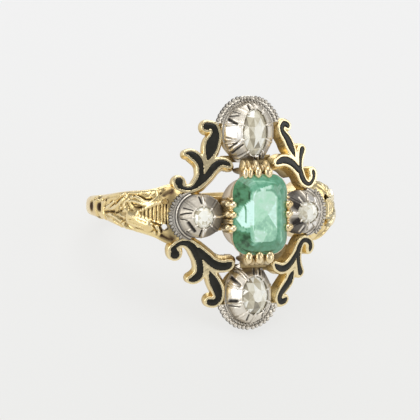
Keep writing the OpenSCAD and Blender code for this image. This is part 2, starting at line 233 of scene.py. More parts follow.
def metalFinish(name, look):
    m = Finish(name)
    deep = m.field("deep")      # 1 is black with age and painted shade, -1 is rubbed bright and painted highlight
    cloud = m.noise(metalGrain["cloud"], 4)
    grain = m.noise(metalGrain["grain"], 3, 0.7)
    scratch = m.noise(metalGrain["scratch"], 2, 0.5, (1, 6, 1))
    tone = m.blend(m.spread(cloud, 0.35, 0.7), look["light"], look["warm"])
    tone = m.blend(m.spread(0 - deep, 0.0, 1.0), tone, look["bright"])
    tarnishAndShade = m.spread(deep + grain * 0.2 - 0.1, 0.0, 1.0)
    tone = m.blend(tarnishAndShade, tone, look["dark"])
    rough = look["roughness"] + m.spread(grain, 0.3, 0.8) * 0.1 + tarnishAndShade * 0.3
    return m.surface({"Base Color": tone, "Metallic": 1.0 - tarnishAndShade * 0.5, "Roughness": rough,
                      "Normal": m.bump(grain * 0.5 + scratch * 0.5 + cloud, look["grainDepth"])})


silverLook = {"light": (0.86, 0.81, 0.72), "warm": (0.70, 0.63, 0.52), "dark": (0.035, 0.030, 0.028),
              "bright": (1.0, 0.97, 0.92), "roughness": 0.30, "grainDepth": 0.014}
cupLook = {"light": (0.86, 0.73, 0.55), "warm": (0.66, 0.53, 0.37), "dark": (0.06, 0.04, 0.025),
           "bright": (0.85, 0.80, 0.72), "roughness": 0.32, "grainDepth": 0.012}

gold = metalFinish("chasedGold", goldLook)
clawGold = metalFinish("clawGold", {**goldLook, "light": (0.98, 0.86, 0.60), "roughness": 0.18})
silver = metalFinish("wornSilver", silverLook)
satinSilver = metalFinish("satinSilver", {**silverLook, "light": (0.83, 0.77, 0.66), "roughness": 0.36})
cupSilver = metalFinish("cupSilver", cupLook)


def enamelFinish():
    look = {"black": (0.019, 0.019, 0.015), "worn": (0.036, 0.034, 0.028), "roughness": 0.16, "gloss": 0.22,
            "cloud": 1.1, "pits": 0.12, "relief": 0.02}
    m = Finish("blackEnamel")
    cloud = m.noise(look["cloud"], 3)
    pits = m.noise(look["pits"], 2)
    tone = m.blend(m.spread(cloud, 0.45, 0.75), look["black"], look["worn"])
    rough = look["roughness"] + m.spread(cloud, 0.4, 0.8) * 0.2
    return m.surface({"Base Color": tone, "Roughness": rough, "Specular IOR Level": look["gloss"],
                      "Normal": m.bump(cloud + pits * 0.2, look["relief"])})


def stoneFinish(name, look):
    # the tone, 0 to 1, is the painted light and shade of the facets and picks the colour of a facet from the
    # stops
    m = Finish(name)
    cloud = m.noise(look["cloud"], 2)
    mottle = m.spread(m.field("tone") + (cloud - 0.5) * look["mottle"], 0.0, 1.0)
    tone = m.node("ShaderNodeValToRGB", {"stops": look["stops"]}, {"Fac": mottle})
    rough = look["roughness"] + m.spread(m.noise(0.5, 2), 0.3, 1.2) * 0.04
    paintedGlow = m.blend(m.spread(mottle, 0.82, 1.0), (0, 0, 0), look["paintedGlow"])    # painted glow: emission on the lightest facets, standing in for light thrown back from inside
    return m.surface({"Base Color": tone, "Roughness": rough, "Transmission Weight": look["clear"],
                      "IOR": look["ior"], "Emission Color": paintedGlow, "Emission Strength": 1.0})


enamel = enamelFinish()
emeraldStone = stoneFinish("emeraldStone", {
    "stops": [(0.0, (0.035, 0.10, 0.045)), (0.12, (0.10, 0.29, 0.14)), (0.36, (0.17, 0.48, 0.31)),
              (0.7, (0.52, 0.94, 0.68)), (1.0, (0.84, 1.0, 0.95))],
    "cloud": 0.5, "mottle": 0.52, "clear": 0.2, "ior": 1.57, "roughness": 0.03,
    "paintedGlow": (0.05, 0.20, 0.17)})
diamondStone = stoneFinish("diamondStone", {
    "stops": [(0.0, (0.20, 0.17, 0.12)), (0.35, (0.64, 0.58, 0.42)), (0.65, (0.93, 0.89, 0.73)),
              (1.0, (1.0, 1.0, 0.95))],
    "cloud": 0.5, "mottle": 0.35, "clear": 0.15, "ior": 2.0, "roughness": 0.03,
    "paintedGlow": (0.10, 0.10, 0.08)})
print("finishes made")


# Mesh helpers

def addPiece(name, points, faces, finish, replaced=(), fields=None, crease=38, flip=False,
             facetShades=None):
    # fields hold a value for each point, facetShades the painted light and shade of each facet of a stone;
    # below the crease, in degrees, a fold is shaded smooth
    mesh = bpy.data.meshes.new(name)
    order = (lambda f: tuple(reversed(f))) if flip else tuple
    mesh.from_pydata(laid(points).tolist(), [], [order(f) for f in faces])
    for fieldName, values in (fields or {}).items():
        attribute = mesh.attributes.new(fieldName, "FLOAT", "POINT")
        attribute.data.foreach_set("value", np.asarray(values, np.float32).ravel())
    if facetShades is not None:
        mesh.attributes.new("tone", "FLOAT", "FACE").data.foreach_set("value", np.asarray(facetShades, np.float32))
    mesh.polygons.foreach_set("use_smooth", [crease > 0] * len(mesh.polygons))
    if crease > 0:
        mesh.set_sharp_from_angle(angle=math.radians(crease))
    mesh.validate()
    mesh.materials.append(finish)
    piece = bpy.data.objects.new(name, mesh)
    bpy.context.scene.collection.objects.link(piece)
    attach(piece, "root")
    if replaced:
        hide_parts(*replaced)
    return piece


def turned(points, axis, degrees):
    p = np.asarray(points, float)
    c, s = math.cos(math.radians(degrees)), math.sin(math.radians(degrees))
    x, y, z = p[..., 0], p[..., 1], p[..., 2]
    if axis == "x":
        return np.stack((x, y * c - z * s, y * s + z * c), -1)
    if axis == "y":
        return np.stack((x * c + z * s, y, z * c - x * s), -1)
    return np.stack((x * c - y * s, x * s + y * c, z), -1)


def curve(rows, steps=4):
    # a smooth curve through the rows
    p = np.array(rows, float)
    out = []
    for i in range(len(p) - 1):
        a, b, c, d = p[max(i - 1, 0)], p[i], p[i + 1], p[min(i + 2, len(p) - 1)]
        for k in range(steps):
            t = k / steps
            out.append(0.5 * (2 * b + (c - a) * t + (2 * a - 5 * b + 4 * c - d) * t * t
                              + (3 * b - a - 3 * c + d) * t ** 3))
    out.append(p[-1])
    return np.array(out)


def ribbonField(x, y, line):
    # distance from the edge of a ribbon of changing width, negative inside
    best = np.full(np.shape(x), 99.0)
    for (ax, ay, ar), (bx, by, br) in zip(line[:-1], line[1:]):
        dx, dy = bx - ax, by - ay
        t = np.clip(((x - ax) * dx + (y - ay) * dy) / (dx * dx + dy * dy + 1e-12), 0, 1)
        best = np.minimum(best, np.hypot(x - ax - t * dx, y - ay - t * dy) - ar - t * (br - ar))
    return best


def softMin(a, b, k):
    h = np.clip(k - np.abs(a - b), 0, None) / k
    return np.minimum(a, b) - h * h * k / 4


def bell(value, at, width):
    # 1 at a value, fading to 0 on both sides of it
    return np.exp(-((value - at) / width) ** 2)


def rounding(distance, radius):
    # how far a rounded edge lies below the top, at a distance from the edge
    d = radius - np.clip(distance, 0, radius)
    return radius - np.sqrt(np.clip(radius * radius - d * d, 0, None))


def slabMesh(field, box, spacing, top, bottom, draft=0.0):
    # a plate bounded by field(x, y) = 0, between the heights top(x, y) and bottom(x, y);
    # the draft is how far its foot stands out
    xs = np.arange(box[0], box[2] + spacing, spacing)
    ys = np.arange(box[1], box[3] + spacing, spacing)
    x, y = np.meshgrid(xs, ys, indexing="ij")
    f = field(x, y)
    keep = (f[:-1, :-1] + f[1:, :-1] + f[:-1, 1:] + f[1:, 1:]) < 0
    for _ in range(4):      # two cells never meet at a corner alone
        a, b, c, d = keep[:-1, :-1], keep[1:, 1:], keep[1:, :-1], keep[:-1, 1:]
        first, second = a & b & ~c & ~d, c & d & ~a & ~b
        if not (first.any() or second.any()):
            break
        keep[1:, :-1] |= first
        keep[:-1, :-1] |= second
    pad = np.pad(keep, 1)
    corners = [pad[:-1, :-1], pad[1:, :-1], pad[:-1, 1:], pad[1:, 1:]]
    used = np.logical_or.reduce(corners)
    rim = used & ~np.logical_and.reduce(corners)
    for _ in range(3):      # the rim is moved onto the outline
        f = field(x, y)
        step = spacing * 0.05
        gx = (field(x + step, y) - f) / step
        gy = (field(x, y + step) - f) / step
        size = np.clip(gx * gx + gy * gy, 0.2, None)
        move = np.clip(f, -spacing, spacing) * 0.8
        x = np.where(rim, x - move * gx / size, x)
        y = np.where(rim, y - move * gy / size, y)
    number = np.cumsum(used.ravel()).reshape(used.shape) - 1
    count = int(used.sum())
    px, py = x[used], y[used]
    f, step = field(px, py), 0.01
    out = draft * np.clip(1 + f / (3 * draft + 1e-9), 0, 1)
    bx, by = px + out * (field(px + step, py) - f) / step, py + out * (field(px, py + step) - f) / step
    points = np.concatenate((np.stack((px, py, top(px, py)), -1), np.stack((bx, by, bottom(px, py)), -1)))
    i, j = np.nonzero(keep)
    a, b, c, d = number[i, j], number[i + 1, j], number[i + 1, j + 1], number[i, j + 1]
    faces = [np.stack((a, b, c, d), -1), np.stack((d, c, b, a), -1) + count]
    sides = (((0, -1), a, b), ((1, 0), b, c), ((0, 1), c, d), ((-1, 0), d, a))
    for (di, dj), first, second in sides:
        open_ = ~pad[i + 1 + di, j + 1 + dj]
        p, q = first[open_], second[open_]
        faces.append(np.stack((q, p, p + count, q + count), -1))
    return points, np.concatenate(faces), count


# Hoop with chased shoulders

# Rows: angle from the face, metal over the hole, half width, depth of the rounded top, way out of true
hoopRows = [
    (0, 0.45, 1.45, 0.10, 0), (14, 0.50, 1.45, 0.12, 0), (20, 1.00, 1.50, 0.30, 0),
    (27, 2.20, 1.80, 0.60, 0), (33, 2.90, 2.30, 1.00, 0), (40, 3.45, 2.60, 1.30, 0.04),
    (50, 3.60, 2.02, 1.40, 0.16), (59, 3.25, 1.74, 1.30, 0.24), (66, 2.70, 1.60, 1.20, 0.28),
    (74, 2.10, 1.42, 1.05, 0.32), (82, 1.70, 1.20, 0.95, 0.35), (90, 1.45, 1.05, 0.85, 0.36),
    (105, 1.35, 0.90, 0.80, 0.32), (130, 1.30, 0.80, 0.75, 0.18), (160, 1.30, 0.75, 0.75, 0),
    (200, 1.30, 0.75, 0.75, 0)]
hoopFullness = 0.75     # below 1 the section is squarer than an ellipse


def hoopValue(angle, column):
    # a column of the rows at any angle, a little smoothed
    rows = np.array(hoopRows)
    at = lambda a: np.interp(a, rows[:, 0], rows[:, column])
    return (at(angle - 3) + 2 * at(angle) + at(angle + 3)) / 4


# Chasing of the left shoulder, read off the photograph in its pixels: half width and height in
# millimetres, then the way the tool went. A height below zero is a cut.
chasing = [
    (0.11, 0.17, [(130.4, 197.8), (134.2, 197.1), (139.3, 199), (143.8, 201.6), (148.9, 202.6),
                  (153.3, 200.3), (156.5, 197.1), (155.3, 192.7), (152.7, 192), (150.2, 195.2)]),
    (0.1, 0.14, [(129.1, 201.6), (133.6, 201), (138.7, 202.6), (143.8, 204.6), (149.5, 204.6),
                 (155.3, 202.2)]),
    (0.08, 0.15, [(136.5, 212.4), (146, 208), (155.9, 203.8), (162, 202.6)]),
    (0.08, 0.15, [(137.4, 215.6), (144, 217.8), (150.2, 220.1), (157, 222.5), (163, 224.2)]),
    (0.42, 0.28, [(130.5, 218), (136, 220), (142, 222.5), (147, 225)]),
    (0.13, 0.14, [(134.2, 230), (144, 231.8), (152, 235), (160, 239.5), (168, 244)]),
    (0.1, 0.15, [(150, 223.6), (153.5, 226), (155.3, 229.5), (153.6, 232.5)]),
    (0.1, 0.15, [(156.5, 226), (158.8, 229.5), (158.4, 234.5)]),
    (0.09, 0.16, [(128, 200), (124.6, 203.2), (125.2, 208.2), (128.5, 211)]),
    (0.09, 0.15, [(122.2, 200.3), (119.7, 203.8), (121, 208)]),
    (0.08, 0.15, [(119.5, 213), (122, 216), (126, 216.3), (128.7, 213.5), (127, 210.8), (123.5, 211)]),
    (0.11, 0.14, [(107, 207), (112, 203.8), (115.6, 199.6), (119, 195.3)]),
    (0.13, 0.14, [(110, 209.3), (115.2, 206.3), (119.8, 201.5), (124.3, 196.5)]),
    (0.12, 0.15, [(106, 214.5), (110.6, 217.8), (114.8, 221.6), (119, 226.8)]),
    (0.14, 0.15, [(109, 213.3), (115, 216.5), (120, 220.8), (123.6, 226.8)]),
    (0.22, 0.1, [(96.2, 199), (95.1, 207), (95.9, 216)]),
    (0.2, 0.1, [(103.4, 201), (102.4, 209), (103.2, 217)]),
    (0.09, 0.12, [(104, 197.6), (115, 194.6), (124, 193.4), (134, 192.8), (144, 192.3), (152, 190.8),
                  (160, 188.4), (168, 185.8)]),
    (0.26, -0.7, [(99.3, 205.6), (99.2, 208)]), (0.28, -0.55, [(91.3, 204.4), (91.2, 207.2)]),
    (0.05, -0.12, [(105.6, 206.4), (110, 203.6)]), (0.05, -0.12, [(111, 207.2), (115, 203.2)]),
    (0.05, -0.12, [(118, 209.2), (121, 205.2)]), (0.05, -0.12, [(121, 196.5), (126.2, 199.6)]),
    (0.05, -0.12, [(126.2, 202.8), (129.2, 207)]), (0.05, -0.12, [(129, 208.8), (133.2, 211)]),
    (0.05, -0.12, [(118.4, 217.5), (122.4, 219.6)]), (0.05, -0.12, [(120.6, 222.4), (124.6, 220)]),
    (0.05, -0.12, [(112.8, 214), (118, 216.4)]), (0.04, -0.07, [(130, 221.2), (137, 223.6), (144, 227)]),
    (0.04, -0.07, [(134.2, 227.6), (143.2, 229.2)]), (0.04, -0.07, [(138.2, 219.2), (147.2, 222.6)]),
    (0.05, -0.1, [(139, 193.6), (147, 194.8), (152, 193.6)]),
    (0.05, 0.1, [(153.6, 191.2), (157.4, 194.6), (158.2, 199.6)]),
    (0.12, -0.16, [(101.5, 199.6), (105.5, 199.9)]), (0.12, -0.12, [(93.5, 198.8), (98, 198.2)]),
    (0.09, -0.24, [(114.2, 201), (118.3, 196.2)]),
    (0.13, -0.34, [(116.7, 202.8), (119.5, 199), (122.4, 195)]),
    (0.11, -0.22, [(109.3, 203), (111.2, 200.8)]), (0.11, -0.18, [(105.6, 203), (104.4, 207)]),
    (0.11, -0.2, [(104.4, 212.1), (109, 211.6), (114.4, 211.8)]),
    (0.08, -0.22, [(115.7, 212.8), (118.5, 212), (121.8, 210.2)]),
    (0.14, -0.4, [(112.8, 220.4), (114.7, 223.2), (116.7, 226)]),
    (0.08, -0.2, [(116.7, 226.2), (120.8, 229)]),
    (0.15, -0.3, [(124, 224.6), (125.4, 227), (126.9, 229.2)]),
    (0.06, -0.16, [(125.8, 217), (126.2, 222.6), (129.1, 227.4), (134.2, 229.9)]),
    (0.07, -0.14, [(106, 214), (109.5, 216.8)]),
    (0.09, -0.2, [(131.5, 203), (134, 206.6), (138, 207.3), (141, 207.2)]),
    (0.06, -0.14, [(133.5, 204.2), (136, 204.6), (139.5, 205.4)]),
    (0.08, -0.24, [(136.1, 195.4), (141.2, 197.1), (145.7, 199.6), (150.8, 198.6)]),
    (0.05, -0.16, [(126.5, 194.8), (131, 194.4), (133.2, 195.6)]),
    (0.11, -0.3, [(132, 195.6), (133.2, 195.5)]), (0.16, -0.1, [(163, 195.5), (166, 193.4), (171, 190.5)]),
    (0.1, -0.12, [(159.5, 193.5), (162.5, 190)]),
    (0.16, -0.1, [(160.5, 236), (165.5, 239), (170.5, 240.5)]),
    (0.07, -0.26, [(152.6, 225.4), (154.6, 228.4), (155.6, 232)]),
    (0.09, -0.28, [(160.2, 227), (160.5, 232)]), (0.04, -0.07, [(129.7, 218.5), (134.8, 220.1)]),
    (0.07, -0.26, [(151, 221.6), (157, 223.9), (162.5, 225.8)]),
]
# The ribbed tongue beside the collet, in the same pixels
tongue = {"apex": 138, "middle": 213.6, "spread": 0.37, "ribWidth": 0.06, "ribDepth": -0.15,
          "ribs": (141.2, 144.6, 148.6, 152.4, 156.2, 160, 163.2, 166.4)}
# Painted shade on the gold, in the pits and hollows: half width, shade, way
paintedShadeMarks = [
    (0.38, 1.5, [(98.4, 206.8), (99.9, 206.8)]), (0.44, 1.2, [(90.8, 206), (91.8, 206)]),
    (0.3, 0.56, [(161.5, 195.4), (166, 193.2), (171, 190.4)]), (0.32, 0.62, [(168, 205), (172.5, 195)]),
    (0.4, 0.56, [(161.5, 236), (166, 238.8), (171, 241.4)]), (0.36, 0.56, [(167.8, 224), (172.5, 236)]),
    (0.1, 0.7, [(96.4, 197.6), (99.6, 197.2)]), (0.1, 0.6, [(94.6, 216), (97.4, 217)]),
    (0.1, 0.35, [(104.4, 199.6), (108, 197.2)]), (0.1, 0.3, [(136, 209), (140, 207.6), (144, 206)]),
]
# Openings beside the tongue, each by two corners of its box
openings = [((160.6, 205.4), (169.6, 198)), ((158.8, 223.2), (168.8, 231.8))]
shoulderScale = 11.3    # radius on which the chasing is laid out


def shoulderPlace(px, py):
    # (way along the hoop, way across) of a photo pixel on the left shoulder
    angle, middle = 60.0, shot["photoSize"] / 2
    for _ in range(12):
        r, a = ring["holeRadius"] + float(hoopValue(angle, 1)), math.radians(angle)
        on = np.array((-r * math.sin(a), 0, r * math.cos(a)))
        near = shot["distance"] / (shot["distance"] - on @ shotBack)
        off = shot["centre"][0] - middle - (px - middle) / near
        angle = shot["turn"] + math.degrees(math.asin(min(off / (shot["pixelsPerMm"] * r), 1)))
    return shoulderScale * a, (onPhoto(on)[1] - py) / (shot["pixelsPerMm"] * near * shotUp[1])


def chased(way, across):
    # height of the chasing at places on the shoulder
    high, low = np.zeros_like(way), np.zeros_like(way)
    strokes = list(chasing)
    for px in tongue["ribs"]:
        half = (px - tongue["apex"]) * tongue["spread"] + 0.8
        rib = [(px, tongue["middle"] - half), (px - 0.4, tongue["middle"]), (px, tongue["middle"] + half)]
        strokes.append((tongue["ribWidth"], tongue["ribDepth"], rib))
    for width, height, pixels in strokes:
        line = [(*shoulderPlace(*p), 0.0) for p in pixels]
        line = curve(line, 5) if len(line) > 2 else np.array(line)
        near = (way > line[:, 0].min() - 1.5) & (way < line[:, 0].max() + 1.5)
        d = ribbonField(way[near], across[near], line) / width
        if height > 0:
            shape = height * np.clip(1 - (d / 1.5) ** 2, 0, None) ** 0.6
            high[near] = np.maximum(high[near], shape)
        else:
            shape = height * np.exp(-np.clip(d, 0, None) ** 3)
            low[near] = np.minimum(low[near], shape)
    return high + low


def paintedShadeAt(way, across):
    # painted shade at places on the shoulder
    shade = np.zeros_like(way)
    for width, dark, pixels in paintedShadeMarks:
        line = [(*shoulderPlace(*p), 0.0) for p in pixels]
        shade += dark * np.exp(-np.clip(ribbonField(way, across, line) / width, 0, None) ** 4)
    return shade


def blurred(values, reach):
    # each value is the mean of its neighbours in the grid
    out = values.copy()
    for axis in (0, 1):
        total = np.zeros_like(out)
        for k in range(-reach, reach + 1):
            total += np.roll(out, k, axis)
        out = total / (2 * reach + 1)
    return out


def inSeat(x, y, z):
    # height over the seat plane of a side collet, and whether a place is inside its flange
    p = turned(np.stack((np.abs(x), y, z), -1) - np.array(ring["sideBase"]), "y", -ring["sideTilt"])
    return p[..., 2], np.hypot(p[..., 0] - sideCollet["seatAt"], p[..., 1]) < sideCollet["seatRadius"]


def wallMesh(outer, inner, through):
    # a wall between two grids of places that go round the hole; a cell is left open where all its
    # corners are marked as through
    rings, columns = through.shape
    count = rings * columns
    number = np.arange(count).reshape(rings, columns)
    after = np.roll(through, -1, 0)
    keep = ~(through[:, :-1] & through[:, 1:] & after[:, :-1] & after[:, 1:])
    i, j = np.nonzero(keep)
    k = (i + 1) % rings
    p, q, s, t = number[i, j], number[k, j], number[k, j + 1], number[i, j + 1]
    faces = [np.stack((p, q, s, t), -1), np.stack((t, s, q, p), -1) + count]
    sides = ((i, j - 1, p, q), (k, j, q, s), (i, j + 1, s, t), ((i - 1) % rings, j, t, p))
    for ni, nj, first, second in sides:
        edge = (nj < 0) | (nj >= columns - 1) | ~keep[ni, np.clip(nj, 0, columns - 2)]
        f, g = first[edge], second[edge]
        faces.append(np.stack((g, f, f + count, g + count), -1))
    return np.concatenate((outer.reshape(-1, 3), inner.reshape(-1, 3))), np.concatenate(faces).tolist()


def makeHoop():
    look = {
        # angles from the face, in degrees: where the mesh is fine, its steps, where the gold is chased
        "fine": (32, 106), "frontStep": 1.0, "leftStep": 0.28, "rightStep": 0.45, "backStep": 1.2,
        "worked": (33, 108), "fadeFrom": 30, "fade": 6, "columns": 80,
        # the inside is narrower, and leans and drops at the shoulders
        "sideDraft": 0.05, "shoulderAt": 41, "shoulderSpread": 9, "innerLean": 6.2, "innerDrop": 0.18,
        # the seats under the side collets carry painted shade; the inside is darker all over
        "seatDrop": 0.02, "seatShade": 0.6, "innerDark": 0.25,
        # age in hollows and cuts, wear on ridges, and a painted highlight on the whole right shoulder
        "reach": 4, "fullDepth": 0.10, "hollowAge": 0.62, "cutAge": 1.6, "ridgeWear": 0.5, "rightHighlight": 0.65}
    start, end = look["fine"]
    front, back = np.arange(0, start, look["frontStep"]), np.arange(end, 180, look["backStep"])
    right = np.concatenate((front, np.arange(start, end, look["rightStep"]), back))
    left = np.concatenate((front, np.arange(start, end, look["leftStep"]), back))
    signed = np.concatenate((right, -left[:0:-1]))
    a, tau = np.meshgrid(np.abs(signed), np.linspace(0, math.pi, look["columns"] + 1), indexing="ij")

    # the outside, with the chasing raised along its normal
    top = ring["holeRadius"] + hoopValue(a, 1)
    width, depth = hoopValue(a, 2), hoopValue(a, 3)
    cosine, sine = np.cos(tau), np.clip(np.sin(tau), 0, 1)
    y = width * np.sign(cosine) * np.abs(cosine) ** hoopFullness + hoopValue(a, 4)
    r = top - depth + depth * sine ** hoopFullness
    way = shoulderScale * np.radians(a)
    relief = np.zeros_like(a)
    worked = (a > look["worked"][0]) & (a < look["worked"][1])
    relief[worked] = chased(way[worked], y[worked])
    relief *= np.clip((a - look["fadeFrom"]) / look["fade"], 0, 1)
    ny = np.sign(cosine) * np.abs(cosine) ** (2 - hoopFullness) / width
    nr = sine ** (2 - hoopFullness) / depth
    size = np.hypot(ny, nr)
    y2, r2 = y + relief * ny / size, r + relief * nr / size

    # flats under the side collets, and the openings
    turn = np.radians(signed)[:, None]
    high, under = inSeat(r2 * np.sin(turn), y2, r2 * np.cos(turn))
    tilt, base = math.radians(ring["sideTilt"]), np.array(ring["sideBase"])
    seat = base[0] * math.sin(tilt) + base[2] * math.cos(tilt) - look["seatDrop"]
    seat = seat / np.cos(np.radians(a) - tilt)
    cut = under & (high > -look["seatDrop"])
    r2 = np.where(cut, seat, r2)
    through = np.zeros_like(a, bool)
    for corners in openings:
        (w0, y0), (w1, y1) = (shoulderPlace(*c) for c in corners)
        along = (way - (w0 + w1) / 2) / (abs(w1 - w0) / 2)
        across = (y - (y0 + y1) / 2) / (abs(y1 - y0) / 2)
        through |= along ** 2 + across ** 2 < 1

    # where the gold is dark with age and painted shade, where it is rubbed, and the painted highlight on the
    # right shoulder
    even = blurred(relief, look["reach"])
    deep = np.clip((even - relief) / look["fullDepth"], 0, 1) * look["hollowAge"]
    deep += np.clip(-relief - 0.04, 0, 0.3) * look["cutAge"]
    deep -= np.clip((relief - even) / look["fullDepth"], 0, 1) * look["ridgeWear"] * (relief > 0)
    deep = np.where(cut, look["seatShade"], deep)
    deep[worked] += paintedShadeAt(way[worked], y[worked])
    paintedHighlight = look["rightHighlight"] * (signed[:, None] > 0)
    deep -= paintedHighlight * np.clip((a - look["worked"][0]) / look["fade"], 0, 1) * np.clip((90 - a) / 15, 0, 1)

    outer = np.stack((r2 * np.sin(turn), y2, r2 * np.cos(turn)), -1)
    shoulder = lambda angle: bell(angle, look["shoulderAt"], look["shoulderSpread"])
    lean = np.radians(np.sign(signed) * look["innerLean"] * shoulder(np.abs(signed)))[:, None]
    inY = y * (1 - look["sideDraft"]) - look["innerDrop"] * shoulder(a) * (1 - (y / width) ** 2).clip(0, 1)
    inR = np.full_like(a, ring["holeRadius"])
    inner = np.stack((inR * np.sin(turn + lean), inY, inR * np.cos(turn + lean)), -1)
    points, faces = wallMesh(outer, inner, through)
    deep = np.concatenate((deep.ravel(), np.full(deep.size, look["innerDark"])))
    addPiece("hoop", points, faces, gold, ("gold_mount",), {"deep": deep}, crease=60, flip=True)


makeHoop()
print("hoop made")


# Scroll panels: middle lines of the enamel, read off the photograph. Each row is a place in its
# pixels and a half width in millimetres.
panels = {
    "nw": {
        "sides": (-1, 1), "dot": (179, 181.8, 0.33),
        "leaf": [(207.7, 160.3, 0.03), (209.2, 155.3, 0.25), (210.9, 149.2, 0.44), (212.4, 143.2, 0.48),
                 (215, 137.2, 0.35), (215.6, 131.8, 0.25), (213.3, 126.9, 0.24), (208.6, 126, 0.26),
                 (204.9, 126.8, 0.31)],
        "stem": [(185.5, 153.4, 0.04), (189.5, 153.4, 0.15), (193.4, 155.2, 0.26), (198.2, 159.4, 0.26),
                 (200.9, 164.8, 0.22), (201.5, 170.8, 0.2), (201.2, 176.7, 0.2), (198.8, 182.7, 0.24),
                 (194, 187.3, 0.16), (188, 189, 0.12), (182, 187.5, 0.15), (178.2, 184.5, 0.23)],
        "branch": [(198.8, 184.5, 0.16), (203.6, 179.1, 0.25), (208.4, 174.4, 0.25), (212.6, 168.4, 0.27),
                   (218, 163.6, 0.26), (222.8, 162.4, 0.21), (227.6, 163.9, 0.17), (230.3, 166, 0.05)]},
    "ne": {
        "sides": (1, 1), "dot": (313.6, 173, 0.18),
        "leaf": [(295.2, 157, 0.03), (292.8, 150.4, 0.27), (290.1, 144.4, 0.38), (287.3, 138.4, 0.34),
                 (283.2, 132.4, 0.25), (281.9, 127.6, 0.23), (284.2, 123.6, 0.23), (287.5, 124.9, 0.24),
                 (288.9, 127.3, 0.18)],
        "stem": [(303.6, 146.8, 0.24), (302.1, 150.4, 0.26), (300.9, 156.4, 0.2), (300.6, 162.4, 0.15),
                 (300.6, 168.4, 0.17), (301, 172.5, 0.28), (302.4, 177.3, 0.3), (305.4, 182.1, 0.23),
                 (309.6, 183.9, 0.15), (313.2, 179.7, 0.14), (314.1, 174.4, 0.17), (313.2, 169.6, 0.14)],
        "branch": [(300, 172, 0.25), (297.6, 168.4, 0.3), (292.8, 163.4, 0.32), (287.4, 160.4, 0.32),
                   (282.6, 160.2, 0.29), (278.4, 162.1, 0.2), (276.3, 163.9, 0.08)]},
    "sw": {
        "sides": (-1, -1), "dot": (175.1, 254.3, 0.37),
        "leaf": [(209.6, 271.3, 0.03), (212.2, 277.9, 0.27), (214.8, 283.7, 0.37), (217.4, 289.4, 0.36),
                 (218.5, 294.4, 0.29), (217.9, 299.2, 0.25), (214.5, 302.3, 0.25), (210.5, 302.3, 0.26),
                 (207.9, 300.9, 0.22)],
        "stem": [(188.8, 280, 0.1), (193.9, 279.1, 0.24), (198.4, 275.6, 0.3), (200.2, 270.5, 0.27),
                 (199.9, 265.3, 0.26), (198.7, 259.6, 0.27), (196.1, 253.8, 0.28), (193.3, 248.1, 0.29),
                 (188.7, 244.1, 0.25), (183.5, 242.9, 0.19), (178.4, 244.3, 0.14), (174, 248.2, 0.15),
                 (173.6, 251.5, 0.25)],
        "branch": [(196.5, 248.5, 0.25), (200.7, 252.9, 0.3), (206.5, 257.8, 0.31), (211.6, 262.4, 0.31),
                   (217.4, 265.6, 0.34), (223.7, 266.4, 0.33), (228.3, 265.3, 0.28), (232, 262.4, 0.08)]},
    "se": {
        "sides": (1, -1), "dot": (310.5, 247.5, 0.19),
        "leaf": [(293.9, 270.5, 0.03), (291.4, 275.6, 0.27), (289.3, 281.4, 0.36), (285.8, 286.5, 0.34),
                 (281.8, 292.3, 0.3), (279.6, 297.4, 0.25), (281.2, 301.6, 0.25), (285.2, 300.3, 0.23),
                 (287, 298, 0.15)],
        "stem": [(301.3, 274.8, 0.25), (300.2, 271, 0.26), (299.1, 265.3, 0.2), (298.4, 259.6, 0.2),
                 (298.4, 253.8, 0.25), (298.7, 249.2, 0.27), (300.5, 244.6, 0.25), (303, 240.8, 0.2),
                 (306.5, 240, 0.18), (309.9, 242.3, 0.18), (310.8, 246.9, 0.19), (309.7, 251.3, 0.1)],
        "branch": [(298.4, 250.5, 0.25), (294.4, 257.8, 0.28), (291, 263, 0.3), (287, 267, 0.3),
                   (282.4, 268.7, 0.28), (277.8, 267, 0.22), (274.9, 264.1, 0.07)]},
}
# at, across, along: place of the upper right panel and its two turns in degrees; lengths in millimetres
panelLook = {"at": (1.87, 3.9, 10.4), "across": 20.3, "along": 11.7, "thickness": 0.8, "border": 0.25,
             "wallDepth": 1.75, "spacing": 0.042, "outerRound": 0.11, "innerRound": 0.04, "enamelDepth": 0.3,
             "enamelDrop": 0.06, "enamelCrown": 0.05, "crownWidth": 0.12, "draft": 0.14,
             "scrollSoft": 0.08, "dotSoft": 0.1, "plateSoft": 0.35,     # how softly the ribbons join
             "depths": (0.0, 0.05, 0.12, 0.3, 0.6, 1.5),                # age and painted shade of the gold down the walls, painted highlight on the top, by depth
             "paintedShades": (-0.55, -0.35, 0.05, 0.17, 0.27, 0.85)}


def fromPanel(points, xSide, ySide):
    # places in the plane of a panel, on the ring
    p = turned(turned(points, "x", -panelLook["along"]), "y", panelLook["across"]) + np.array(panelLook["at"])
    return p * np.array((xSide, ySide, 1))


def intoPanel(xSide, ySide):
    # turns rows in photo pixels into rows in the plane of a panel
    spots = np.array([onPhoto(fromPanel(p, xSide, ySide)) for p in ((0, 0, 0), (1, 0, 0), (0, 1, 0))])
    inverse = np.linalg.inv((spots[1:] - spots[0]).T)
    return lambda row: (*(inverse @ (np.array(row[:2]) - spots[0])), row[2])


def roundEnds(rows):
    # ends are drawn in by their own half width, because the field rounds them
    p = np.array(rows, float)
    for end, nextOne in ((0, 1), (-1, -2)):
        way = p[nextOne, :2] - p[end, :2]
        p[end, :2] += way / np.hypot(*way) * min(p[end, 2], 0.6 * np.hypot(*way))
    return p


